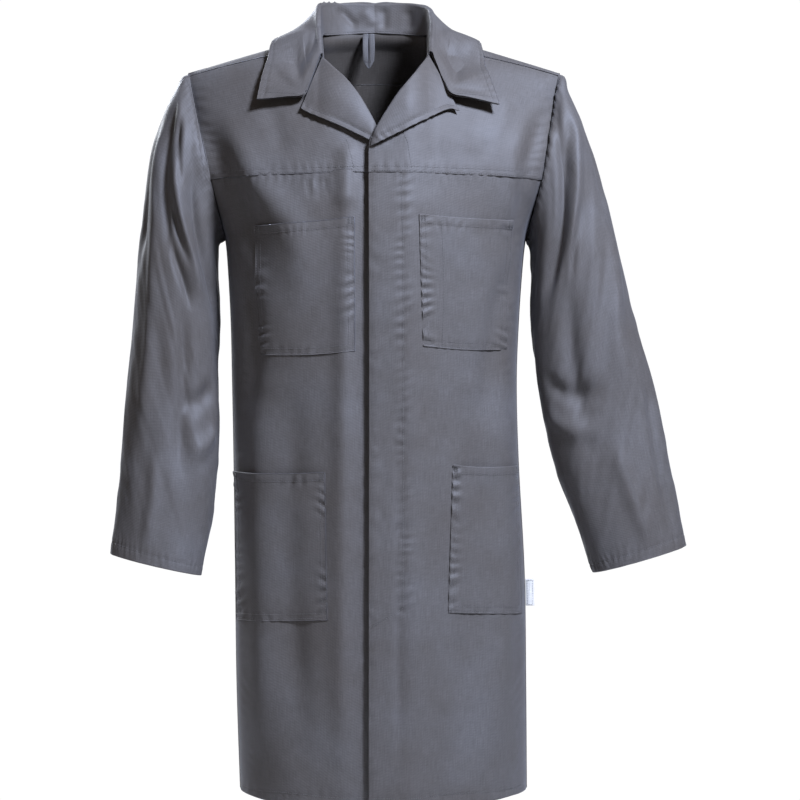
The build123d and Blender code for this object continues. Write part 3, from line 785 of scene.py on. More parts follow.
def make_lapel(side):
    """The turned-out corner of a front: rolled out over the roll line, lying a little off the yoke."""
    roll, edge = [spline(points, 76) for points in LAPELS[side]]
    rows, columns = len(roll), 44
    down = edge_spread(rows)
    even = np.linspace(0, 1, rows)
    roll, edge = [np.column_stack([np.interp(down, even, column) for column in line.T])
                  for line in (roll, edge)]
    width = np.linalg.norm(edge - roll, axis=1)
    way = (edge - roll) / np.maximum(width, 1e-9)[:, None]
    grid = np.zeros((rows, columns, 3))
    bend = 9
    for j in range(columns):
        if j < bend:
            turn = np.pi * j / bend
            reach = -ROLL_RADIUS * np.sin(turn)
            off = ROLL_RADIUS * (1 - np.cos(turn)) + ROLL_GAP
        else:
            share = edge_spread(columns - bend)[j - bend]
            reach = width * share
            rise = LAPEL_SWELL * np.sin(np.pi * np.minimum(1, share * 1.15 + 0.02)) * width / LAPEL_WIDTH
            off = 2 * ROLL_RADIUS + ROLL_GAP + rise + 0.0012 * share
        spot = roll + way * np.broadcast_to(reach, (rows,))[:, None]
        off = off * ramp(down, 1.06, 0.90)
        grid[:, j] = front_at(side, spot[:, 0], spot[:, 1], off)
    normals = normals_of(grid, TO_FRONT)
    x, z = grid[..., 0] * OWN[side], grid[..., 2]
    sewn = [tuple(point) for point in edge[::9]]
    relief = puckers(x, z, sewn, 71, 0.012, 0.0005, 0.010) + 0.0006 * noise(x, z, 0.03, 72)
    inset = edge - way * EDGE_ROW
    row = [tuple(point) for point in inset[3:-6:6]]
    relief = relief + groove(x, z, row, 0.0005)
    grid = grid + normals * relief[..., None]
    name = f"{side}_lapel"
    COAT[name] = cloth_piece(name, grid, TO_FRONT, CLOTH * 2, turn=0.5 * OWN[side])
    flat = Face(grid[:, bend:], TO_FRONT, plane_of(side, grid)[:, bend:])
    COAT[f"{name}_stitching"] = flat.sew(f"{name}_stitching", row)


# ---- collar ----------------------------------------------------------------------------------------
# stations from the centre back to each front: neck seam, fold and outer edge (x on its own side, y, z)
COLLAR = {
    "left": (
        [(0, 0.001, 0.001), (0.042, -0.006, -0.002), (0.067, -0.031, -0.006), (0.0745, -0.062, -0.010),
         (0.0745, -0.098, -0.026), (0.0745, -0.128, -0.047)],
        [(0, 0.005, 0.040), (0.046, -0.002, 0.039), (0.0735, -0.033, 0.030), (0.0790, -0.064, 0.014),
         (0.0790, -0.098, -0.012), (0.0775, -0.130, -0.043)],
        [(0, 0.036, -0.030), (0.068, 0.018, -0.034), (0.114, -0.022, -0.030), (0.1400, -0.072, -0.036),
         (0.1570, -0.125, -0.079), (0.1685, -0.158, -0.1160)],
    ),
    "right": (
        [(0, 0.001, 0.001), (0.042, -0.006, -0.002), (0.067, -0.031, -0.006), (0.0735, -0.062, -0.010),
         (0.0715, -0.098, -0.028), (0.0695, -0.128, -0.051)],
        [(0, 0.005, 0.040), (0.046, -0.002, 0.040), (0.0735, -0.033, 0.035), (0.0765, -0.064, 0.018),
         (0.0745, -0.098, -0.012), (0.0715, -0.130, -0.046)],
        [(0, 0.036, -0.030), (0.068, 0.018, -0.034), (0.110, -0.022, -0.022), (0.1350, -0.072, -0.028),
         (0.1475, -0.125, -0.064), (0.1560, -0.158, -0.1095)],
    ),
}
GORGE = {"left": (0.1010, -0.1010), "right": (0.0910, -0.1040)}
LEAF_ROOM = 0.0075          # between the shoulders and the collar's leaf
LEAF_SWELL = 0.0035         # how far the leaf's middle swells out
LEAF_STAND = {"left": 0.010, "right": 0.003}    # how far the leaf's points stand off
SOFTEN = 0.006              # over which the leaf comes to rest on the shoulders


def body_top(side, x, y):
    """Height of the body's surface over the shoulders at x, y."""
    level = -0.05
    bulge = np.where(y < MID_Y, front_bulge(level), back_bulge(level))
    share = np.clip(np.abs(x) / girth_half(side, level), 0, 1)
    reach = bulge * (1 - share ** GIRTH_POWER) ** (1 / GIRTH_POWER)
    away = np.clip(np.abs(y - MID_Y) / np.maximum(reach, 0.001), 0, 1)
    return ridge_z(x) - ARCH * (1 - (1 - away ** ARCH_POWER) ** (1 / ARCH_POWER))


def leaf_point(side, station, fold, edge, share):
    """Points of the collar's leaf at one share from the fold to the edge, at every station."""
    x, y, z = [mix(fold[:, k], edge[:, k], share) for k in range(3)]
    front = ramp(station, 0.55, 1.0)
    corner = 1 - abs(2 * share - 1)
    gorge_x, gorge_z = GORGE[side]
    x = x - front * corner * ((fold[:, 0] + edge[:, 0]) / 2 - gorge_x)
    z = z + front * corner * (gorge_z - (fold[:, 2] + edge[:, 2]) / 2)
    room = LEAF_ROOM + LEAF_SWELL * np.sin(np.pi * share) + LEAF_STAND[side] * front * share ** 2
    ahead = front_at(side, x, z, room)[..., 1]
    behind = back_at(side, x, z, room)[..., 1]
    to_front = (y + ahead - np.sqrt((y - ahead) ** 2 + SOFTEN ** 2)) / 2
    to_back = (y + behind + np.sqrt((y - behind) ** 2 + SOFTEN ** 2)) / 2
    top = body_top(side, x, y) + room * ramp(share, 0.0, 0.3)
    raised = (z + top + np.sqrt((z - top) ** 2 + SOFTEN ** 2)) / 2
    upright = ramp(np.abs(y - MID_Y), 0.020, 0.055) * ramp(z - ridge_z(x), 0.004, -0.012)
    y = mix(y, np.where(y < MID_Y, to_front, to_back), upright)
    over = ramp(np.abs(x), 0.060, 0.085) * (1 - ramp(np.abs(y - MID_Y), 0.020, 0.055))
    z = mix(z, raised, over)
    return np.column_stack([x, y, z])


def collar_half(side, stations, shares):
    """One half of the collar: rows are shares of its section, columns run from the centre back forward."""
    place = np.linspace(0, 1, 121)
    lines = [spline(points, len(place)) for points in COLLAR[side]]
    seam, fold, edge = [np.column_stack([np.interp(stations, place, column) for column in line.T])
                        for line in lines]
    section = []
    for share in (0.0, 0.35, 0.7, 0.93):
        row = mix(seam, fold, share)
        row[:, 1] += 0.0012 * np.sin(np.pi * share) * ramp(stations, 0.5, 0.0)
        section.append(row)
    top = fold.copy()
    top[:, 2] += 0.0022
    section.append(top)
    for share in (0.07, 0.20, 0.36, 0.52, 0.68, 0.84, 1.0):
        section.append(leaf_point(side, stations, fold, edge, share))
    section = np.array(section)
    fine = np.zeros((len(shares), len(stations), 3))
    for j in range(len(stations)):
        fine[:, j] = np.array([np.interp(shares, np.linspace(0, 1, 200), column)
                               for column in spline(section[:, j], 200).T]).T
    fine[..., 0] *= OWN[side]
    return fine


COLLAR_FOLDS = [
    ([(-0.055, 0.036), (-0.040, 0.024), (-0.022, 0.006)], 0.006, -0.0035),
    ([(0.012, 0.040), (0.014, 0.020), (0.013, 0.002)], 0.006, -0.0030),
    ([(-0.020, 0.036), (-0.008, 0.022), (0.000, 0.008)], 0.008, 0.0025),
    ([(0.045, 0.036), (0.050, 0.016), (0.048, 0.000)], 0.007, -0.0022),
]
LEAF_FOLDS = [
    ([(0.085, -0.028), (0.110, -0.032), (0.136, -0.027)], 0.006, 0.0022),
    ([(0.085, -0.040), (0.112, -0.044), (0.140, -0.040)], 0.007, -0.0020),
    ([(0.100, -0.092), (0.130, -0.096), (0.158, -0.100)], 0.005, -0.0014),
    ([(-0.082, -0.024), (-0.100, -0.050), (-0.108, -0.080)], 0.010, 0.0016),
    ([(-0.140, -0.060), (-0.120, -0.080), (-0.110, -0.100)], 0.008, -0.0014),
]
# the collar's layers: how far each lies off the inner face, its thickness, and by how many points of the
# net it stays inside the edge
COLLAR_LAYERS = {
    "under_collar": (0.0, CLOTH, 1),
    "collar_interlining": (0.0014, 0.0005, 4),
    "top_collar": (0.0030, CLOTH, 0),
}


def make_collar():
    """The collar's three layers: under collar, stiffening and top collar."""
    rows = 92
    shares = edge_spread(rows, tight=0.4)
    stations = edge_spread(75, tight=0.4)
    left = collar_half("left", stations, shares)
    right = collar_half("right", stations, shares)
    net = np.concatenate([right[:, :0:-1], left], axis=1)
    facing = (0, 0.3, 1)
    normals = normals_of(net, facing)
    x, y, z = net[..., 0], net[..., 1], net[..., 2]
    stand = (np.arange(rows) < rows * 0.34)[:, None] & (y > -0.05)
    leaf = (np.arange(rows) > rows * 0.45)[:, None] & (y < -0.03)
    relief = np.where(stand, folds(x, z, COLLAR_FOLDS), 0) + np.where(leaf, folds(x, z, LEAF_FOLDS), 0)
    relief = relief + 0.0005 * noise(x * 1.4, y + z, 0.03, 81)
    down = mean_length(net)
    along, from_edge = np.meshgrid(travelled(net[-1]), down[-1] - down)
    ripple = np.sin(2 * np.pi * (along / 0.012 + 0.6 * noise(along, from_edge, 0.03, 83)))
    relief = relief + 0.0005 * ripple * bell(from_edge, 0.010)
    relief = relief - 0.0005 * bell(from_edge - EDGE_ROW, 0.0016)
    shaped = net + normals * relief[..., None]
    for name, (off, thickness, inset) in COLLAR_LAYERS.items():
        top = shaped + normals * off
        COAT[name] = cloth_piece(name, top[:rows - inset, inset:net.shape[1] - inset], facing, thickness)
    fresh = normals_of(top, facing)
    inset = int(np.searchsorted(down, down[-1] - EDGE_ROW))
    lines = [stitches("collar_row", top[inset, 3:-3], fresh[inset, 3:-3])]
    for name, column in (("left", -5), ("right", 4)):
        first = int(rows * 0.44)
        lines.append(stitches(f"collar_{name}_end", top[first:inset, column], fresh[first:inset, column]))
    seam_row = 3
    lines.append(stitches("collar_seam_row", top[seam_row, 3:-3], fresh[seam_row, 3:-3]))
    COAT["collar_stitching"] = join("collar_stitching", lines)


# ---- sleeves ---------------------------------------------------------------------------------------
# outer and inner edge down each sleeve (x on its own side, z), half depth and middle y, from near the
# armhole to the cuff
SLEEVES = {
    "left": [
        ((0.2655, -0.086), (0.2115, -0.296), 0.068, -0.0655),
        ((0.2850, -0.128), (0.214, -0.302), 0.072, -0.066),
        ((0.3060, -0.190), (0.2150, -0.318), 0.074, -0.066),
        ((0.3320, -0.290), (0.2155, -0.350), 0.073, -0.068),
        ((0.3570, -0.395), (0.2165, -0.425), 0.068, -0.072),
        ((0.3810, -0.484), (0.2270, -0.511), 0.062, -0.077),
        ((0.4000, -0.575), (0.2480, -0.602), 0.056, -0.083),
        ((0.4160, -0.655), (0.2730, -0.672), 0.051, -0.088),
        ((0.4270, -0.709), (0.2990, -0.746), 0.047, -0.092),
    ],
    "right": [
        ((0.2725, -0.086), (0.2110, -0.296), 0.068, -0.0655),
        ((0.2900, -0.128), (0.213, -0.302), 0.072, -0.066),
        ((0.3090, -0.185), (0.2130, -0.318), 0.074, -0.067),
        ((0.3230, -0.300), (0.2130, -0.350), 0.073, -0.070),
        ((0.3300, -0.405), (0.2120, -0.425), 0.068, -0.077),
        ((0.3370, -0.490), (0.2120, -0.500), 0.062, -0.085),
        ((0.3430, -0.580), (0.2110, -0.592), 0.056, -0.096),
        ((0.3500, -0.660), (0.2210, -0.672), 0.051, -0.107),
        ((0.3560, -0.719), (0.2320, -0.748), 0.047, -0.118),
    ],
}
CUFF_STITCH = 0.014         # from the cuff to its row of stitches
ARMHOLE_STITCH = 0.006      # from the armhole to its row
SLEEVE_RADIUS = 0.12        # of the round on which the sleeve's noise is read
SLEEVE_HEAD = 0.0035        # how far the sleeve puffs out beside the armhole
SLEEVE_STRENGTH = 1.2
# folds down each sleeve: share down it, turn round it (0 outside, 0.5 front, 1 underarm), width, height
SLEEVE_FOLDS = {
    "left": [
        ([(0.05, 0.12), (0.13, 0.32), (0.26, 0.60)], 0.050, 0.0080),
        ([(0.04, 0.30), (0.12, 0.50), (0.24, 0.82)], 0.038, -0.0090),
        ([(0.08, 0.24), (0.10, 0.36), (0.13, 0.46)], 0.018, -0.0040),
        ([(0.20, 0.36), (0.23, 0.48), (0.28, 0.58)], 0.026, -0.0050),
        ([(0.10, 0.02), (0.24, 0.10), (0.40, 0.12)], 0.050, -0.0045),
        ([(0.30, 0.10), (0.50, 0.30), (0.70, 0.36)], 0.060, 0.0055),
        ([(0.24, 0.55), (0.45, 0.62), (0.75, 0.60)], 0.060, -0.0065),
        ([(0.44, 0.86), (0.54, 0.66), (0.60, 0.44)], 0.028, -0.0060),
        ([(0.52, 0.90), (0.60, 0.74), (0.68, 0.50)], 0.030, 0.0055),
        ([(0.62, 0.14), (0.78, 0.22), (0.96, 0.24)], 0.045, -0.0045),
        ([(0.70, 0.48), (0.84, 0.46), (0.99, 0.42)], 0.045, 0.0050),
    ],
    "right": [
        ([(0.05, 0.30), (0.15, 0.50), (0.28, 0.76)], 0.040, 0.0085),
        ([(0.04, 0.46), (0.12, 0.66), (0.25, 0.94)], 0.036, -0.0095),
        ([(0.05, 0.12), (0.15, 0.28), (0.30, 0.50)], 0.040, -0.0055),
        ([(0.07, 0.26), (0.09, 0.38), (0.12, 0.50)], 0.018, -0.0045),
        ([(0.17, 0.40), (0.20, 0.52), (0.23, 0.66)], 0.020, -0.0045),
        ([(0.26, 0.44), (0.28, 0.56), (0.32, 0.66)], 0.024, -0.0050),
        ([(0.10, 0.04), (0.26, 0.12), (0.44, 0.14)], 0.050, -0.0050),
        ([(0.06, 0.52), (0.14, 0.66), (0.22, 0.88)], 0.035, 0.0045),
        ([(0.28, 0.26), (0.50, 0.34), (0.78, 0.30)], 0.060, 0.0055),
        ([(0.30, 0.58), (0.52, 0.60), (0.80, 0.56)], 0.055, -0.0065),
        ([(0.46, 0.88), (0.54, 0.72), (0.60, 0.56)], 0.028, -0.0060),
        ([(0.56, 0.90), (0.64, 0.78), (0.70, 0.62)], 0.028, 0.0050),
        ([(0.72, 0.40), (0.86, 0.44), (0.99, 0.40)], 0.045, 0.0045),
    ],
}
BACK_SLEEVE_FOLDS = [
    ([(0.03, 1.72), (0.12, 1.52), (0.24, 1.28)], 0.060, 0.0060),
    ([(0.04, 1.50), (0.12, 1.34), (0.22, 1.14)], 0.045, -0.0055),
    ([(0.30, 1.60), (0.52, 1.50), (0.86, 1.52)], 0.070, 0.0055),
    ([(0.34, 1.24), (0.56, 1.28), (0.90, 1.26)], 0.060, -0.0055),
]


def armhole(side, turn):
    """The body's armhole edge: turn 0 at the shoulder point, pi at the armpit; a minus is up the back."""
    z = mix(SHOULDER_Z, PIT_Z, (1 - np.cos(turn)) / 2)
    x = side_x(side, z)
    front = front_at(side, x, z)
    back = back_at(side, x, z)
    return np.where((turn >= 0)[:, None], front, back)


def make_sleeve(side):
    rows, columns = 262, 150
    turn = np.linspace(-np.pi, np.pi, columns)
    own = OWN[side]
    rings = [armhole(side, turn)]
    for outer, inner, depth, middle_y in SLEEVES[side]:
        outer, inner = np.array(outer), np.array(inner)
        middle, reach = (outer + inner) / 2, (outer - inner) / 2
        across = np.cos(turn)
        spot = middle[None] + reach[None] * across[:, None]
        y = middle_y - depth * np.sin(turn)
        rings.append(np.column_stack([own * spot[:, 0], y, spot[:, 1]]))
    rings = np.array(rings)
    down = edge_spread(rows)
    grid = np.zeros((rows, columns, 3))
    even = np.linspace(0, 1, 400)
    for j in range(columns):
        line = spline(rings[:, j], len(even))
        grid[:, j] = np.column_stack([np.interp(down, even, column) for column in line.T])
    normals = normals_of(grid, (own, 0, 0))
    length = mean_length(grid)
    share, round_by = np.meshgrid(down, turn % (2 * np.pi) / np.pi, indexing="ij")
    relief = SLEEVE_STRENGTH * folds(share, round_by, SLEEVE_FOLDS[side])
    relief = relief + folds(share, round_by, BACK_SLEEVE_FOLDS)
    b, a = np.meshgrid(SLEEVE_RADIUS * np.sin(turn), length)
    c, _ = np.meshgrid(SLEEVE_RADIUS * np.cos(turn), length)
    seed = 91 if side == "left" else 95
    relief = relief + 0.0022 * noise(a * 0.6 + c, b, 0.05, seed) + 0.0007 * noise(a + c, b, 0.02, seed + 1)
    along, _ = np.meshgrid(0.10 * turn, length)
    ripple = np.sin(2 * np.pi * (along / 0.014 + 0.5 * noise(a, along, 0.03, seed + 2)))
    relief = relief + 0.0010 * ripple * bell(a, 0.016)
    cuff = length[-1] - a
    relief = relief + 0.0006 * ripple * bell(cuff - CUFF_STITCH, 0.010)
    relief = relief - 0.0005 * bell(cuff - CUFF_STITCH, 0.0018)
    relief = relief + SLEEVE_HEAD * bell(a - 0.010, 0.009) * ramp(np.cos(turn), -0.6, 0.4)[None]
    relief = relief * ramp(a, -0.0001, 0.006)
    grid = grid + normals * relief[..., None]
    thick = CLOTH + 0.0009 * ramp(cuff, 0.019, 0.014)
    name = f"{side}_sleeve"
    COAT[name] = cloth_piece(name, grid, (own, 0, 0), thick)
    fresh = normals_of(grid, (own, 0, 0))
    lines = []
    for row, place in (("cuff", length[-1] - CUFF_STITCH), ("armhole", ARMHOLE_STITCH)):
        at = int(np.searchsorted(length, place))
        lines.append(stitches(f"{side}_{row}_row", grid[at], fresh[at]))
    COAT[f"{name}_stitching"] = join(f"{name}_stitching", lines)


# ---- pockets ---------------------------------------------------------------------------------------
# side, corners on the front's own side (inner top, outer top, inner bottom, outer bottom), how far the
# mouth stands open, and the depth of the hem at the mouth
POCKETS = {
    "right_chest_pocket": ("right", (0.0250, -0.2690), (0.1630, -0.2780), (0.0240, -0.4460),
                           (0.1530, -0.4500), 0.0030, 0.011),
    "left_chest_pocket": ("left", (0.0610, -0.2650), (0.1880, -0.2690), (0.0650, -0.4390),
                          (0.1780, -0.4430), 0.0030, 0.011),
    "right_hip_pocket": ("right", (0.0640, -0.6070), (0.1895, -0.6080), (0.0600, -0.8020),
                         (0.1850, -0.8080), 0.0040, 0.010),
    "left_hip_pocket": ("left", (0.1060, -0.5980), (0.1940, -0.6000), (0.1000, -0.7930),
                        (0.1990, -0.7990), 0.0045, 0.010),
}
POCKET_ROWS = (0.0022, 0.0085)      # from a pocket's edge to its two rows of stitches
ROW_WIDTH = 0.0016                  # of the groove that a row presses into a pocket
TACKS = 7                           # stitches of a bar tack at each corner of the mouth
TACK_PITCH = 0.0011
TACK_HALF = 0.0035
TACK_INSET = 0.0055


def make_pocket(name):
    """A patch pocket: sewn down at its sides and bottom, its mouth standing a little open."""
    side, inner_top, outer_top, inner_bottom, outer_bottom, gape, hem = POCKETS[name]
    s, t = np.meshgrid(edge_spread(58, tight=0.3), edge_spread(74, tight=0.3))
    x, z = [mix(mix(inner_top[k], outer_top[k], s), mix(inner_bottom[k], outer_bottom[k], s), t)
            for k in range(2)]
    sag = 0.0022 * np.sin(np.pi * s) * (1 - t)
    z = z - sag - 0.003 * np.sin(np.pi * s) * t * (name.endswith("chest_pocket"))
    base = front_at(side, x, z)
    normals = normals_of(base, TO_FRONT)
    panel = front_relief(side, x, z)
    body = 0.0018 + gape * np.sin(np.pi * s) ** 0.7 * (1 - t) ** 1.2 + 0.0007 * noise(x, z, 0.035, 101)
    relief = panel * 0.85 + body
    reach = np.linalg.norm(base[0, -1] - base[0, 0])
    drop = np.linalg.norm(base[-1, 0] - base[0, 0])
    from_side = np.minimum(s, 1 - s) * reach
    from_top, from_bottom = t * drop, (1 - t) * drop
    relief = relief + 0.0005 * ramp(from_top, hem + 0.002, hem)
    for row, depth in zip(POCKET_ROWS, (0.0006, 0.0004)):
        gap = np.minimum(np.abs(from_side - row), np.abs(from_bottom - row))
        relief = relief - depth * bell(gap, ROW_WIDTH)
    relief = relief - 0.0004 * bell(from_top - hem, ROW_WIDTH)
    uneven = np.clip(0.45 + 1.3 * noise(x, z, 0.032, 107), 0, 1.5)
    wave = uneven * np.sin(2 * np.pi * (z / 0.0145 + 0.9 * noise(x, z, 0.035, 103)))
    relief = relief + 0.0013 * wave * bell(from_side - 0.004, 0.012)
    wave = uneven * np.sin(2 * np.pi * (x / 0.0140 + 0.9 * noise(x, z, 0.035, 105)))
    relief = relief + 0.0005 * wave * bell(from_bottom - 0.004, 0.009)
    relief = relief + 0.0008 * wave * bell(from_top - hem, 0.008)
    grid = base + normals * relief[..., None]
    thick = CLOTH + 0.0007 * ramp(from_top, hem + 0.002, hem) + 0.0005 * ramp(from_side, 0.010, 0.008)
    COAT[name] = cloth_piece(name, grid, TO_FRONT, thick)
    outlines = {}
    for k, row in enumerate(POCKET_ROWS):
        far, low = reach - row, row - drop
        outlines[f"row_{k}"] = [(row, -0.001), (row, low), (far, low), (far, -0.001)]
    outlines["row_2"] = [(0.002, -hem), (reach - 0.002, -hem)]
    if name == "left_chest_pocket":
        outlines["row_3"] = [(0.032, -0.001), (0.036, -drop * 0.5), (0.033, 0.003 - drop)]
    for k, middle in enumerate((TACK_INSET, reach - TACK_INSET)):
        for step in range(TACKS):
            height = -0.0016 - TACK_PITCH * step
            outlines[f"tack_{k}_{step}"] = [(middle - TACK_HALF, height), (middle + TACK_HALF, height)]
    fresh = normals_of(grid, TO_FRONT)
    lines = []
    for part, outline in outlines.items():
        points, facing = grid_path(grid, fresh, s * reach, t * drop, outline)
        lines.append(stitches(f"{name}_{part}", points, facing))
    COAT[f"{name}_stitching"] = join(f"{name}_stitching", lines)


def grid_path(grid, normals, u, v, outline):
    """Points and normals on a grid along an outline in its own even coordinates."""
    outline = np.array(outline, float)
    reached = travelled(outline)
    at = np.linspace(0, reached[-1], max(3, int(reached[-1] / 0.0015)))
    a = np.interp(at, reached, outline[:, 0])
    b = -np.interp(at, reached, outline[:, 1])
    i = np.interp(b, v[:, 0], np.arange(len(v)))
    j = np.interp(a, u[0], np.arange(len(u[0])))
    i0, j0 = np.minimum(i.astype(int), len(v) - 2), np.minimum(j.astype(int), len(u[0]) - 2)
    s, t = (i - i0)[:, None], (j - j0)[:, None]

    def read(field):
        upper = mix(field[i0, j0], field[i0, j0 + 1], t)
        lower = mix(field[i0 + 1, j0], field[i0 + 1, j0 + 1], t)
        return mix(upper, lower, s)

    return read(grid), read(normals)


# ---- hanging loop and label ------------------------------------------------------------------------
LOOP_X = -0.008
LOOP_Y = -0.0082
LOOP_LEG = 0.0068           # width of one leg of the folded tape
LOOP_HALF_SLIT = 0.0006
LOOP_LENGTH = 0.049
LOOP_MITRE = 0.011
LOOP_THICK = 0.0013


def make_hanging_loop():
    """A tape folded at a mitred end: two legs side by side, stitched along both edges."""
    legs, threads = [], []
    for way in (-1, 1):
        columns, rows = 12, 60
        grid = np.zeros((rows, columns, 3))
        across = edge_spread(columns, 0, 1, 0.3)
        for i, share in enumerate(edge_spread(rows, tight=0.3)):
            slit = LOOP_HALF_SLIT + 0.0006 * np.sin(np.pi * share)
            x = LOOP_X + way * (slit + LOOP_LEG * across)
            foot = -LOOP_LENGTH + LOOP_MITRE * across ** 1.1
            z = mix(-0.001, foot, share)
            sway = -0.0022 * np.sin(np.pi * share) - 0.0010 * across * share
            grid[i] = np.column_stack([x, np.full(columns, LOOP_Y) + sway, z])
        normals = normals_of(grid, TO_FRONT)
        welt = 0.0003 * np.sin(np.pi * across)[None, :]
        welt = welt + 0.0002 * noise(grid[..., 0], grid[..., 2], 0.008, 111)
        grid = grid + normals * welt[..., None]
        legs.append(cloth_piece(f"loop_leg_{way}", grid, TO_FRONT, LOOP_THICK))
        fresh = normals_of(grid, TO_FRONT)
        for column in (3, columns - 4):
            threads.append(stitches(f"loop_row_{way}_{column}", grid[2:-3, column], fresh[2:-3, column]))
    bar = np.column_stack([np.linspace(LOOP_X - 0.005, LOOP_X + 0.005, 12), np.full(12, LOOP_Y - 0.0024),
                           np.full(12, -LOOP_LENGTH + 0.010)])
    threads.append(stitches("loop_tip_row", bar, np.tile((0.0, -1.0, 0.0), (12, 1))))
    COAT["hanging_loop"] = join("hanging_loop", legs)
    COAT["hanging_loop_stitching"] = join("hanging_loop_stitching", threads)


LABEL_TOP = -0.757
LABEL_HEIGHT = 0.036
LABEL_WIDTH = 0.0115
LABEL_THICK = 0.0011
LABEL_GAP = 0.0006          # between the seam and the label's root


def make_side_label():
    """A blank woven label, folded over and caught in the wearer's left side seam."""
    columns, rows = 14, 30
    grid = np.zeros((rows, columns, 3))
    across = edge_spread(columns)
    for i, share in enumerate(edge_spread(rows)):
        z = LABEL_TOP - LABEL_HEIGHT * share
        x = side_at("left", z) + LABEL_GAP + LABEL_WIDTH * across
        y = MID_Y - 0.0006 - 0.0016 * np.sin(np.pi * across) + 0.0010 * share * across
        grid[i] = np.column_stack([x, y, np.full(columns, z)])
    COAT["side_label"] = cloth_piece("side_label", grid, TO_FRONT, LABEL_THICK)
    fresh = normals_of(grid, TO_FRONT)
    last_row, last_column = rows - 3, columns - 4
    border = [(i, 3) for i in range(2, last_row)]
    border += [(last_row, j) for j in range(3, last_column)]
    border += [(i, last_column) for i in range(last_row, 2, -1)]
    border += [(2, j) for j in range(last_column, 2, -1)]
    at = tuple(np.array(border).T)
    COAT["side_label_stitching"] = stitches("side_label_stitching", grid[at], fresh[at])


# ---- materials -------------------------------------------------------------------------------------
def node_material(name, roughness, sheen=0.0, metallic=0.0):
    """A principled material with its tree emptied of everything but the shader and the output."""
    material = bpy.data.materials.new(name)
    material.use_nodes = True
    tree = material.node_tree
    shader = tree.nodes["Principled BSDF"]
    shader.inputs["Roughness"].default_value = roughness
    shader.inputs["Metallic"].default_value = metallic
    shader.inputs["Sheen Weight"].default_value = sheen
    return material, tree, shader


def add(tree, kind, **settings):
    """A node with its properties and input values set by name."""
    node = tree.nodes.new(kind)
    for key, value in settings.items():
        if hasattr(node, key):
            setattr(node, key, value)
        else:
            node.inputs[key.replace("_", " ")].default_value = value
    return node


def ramp_node(tree, source, stops):
    """A colour ramp read from a socket."""
    node = tree.nodes.new("ShaderNodeValToRGB")
    while len(node.color_ramp.elements) < len(stops):
        node.color_ramp.elements.new(0.5)
    for element, (place, colour) in zip(node.color_ramp.elements, stops):
        element.position = place
        element.color = (*colour, 1)
    tree.links.new(source, node.inputs["Fac"])
    return node


def blend_node(tree, kind, share, first, second):
    """A colour mix of two sockets."""
    node = tree.nodes.new("ShaderNodeMix")
    node.data_type = "RGBA"
    node.blend_type = kind
    node.inputs["Factor"].default_value = share
    tree.links.new(first, node.inputs["A"])
    tree.links.new(second, node.inputs["B"])
    return node


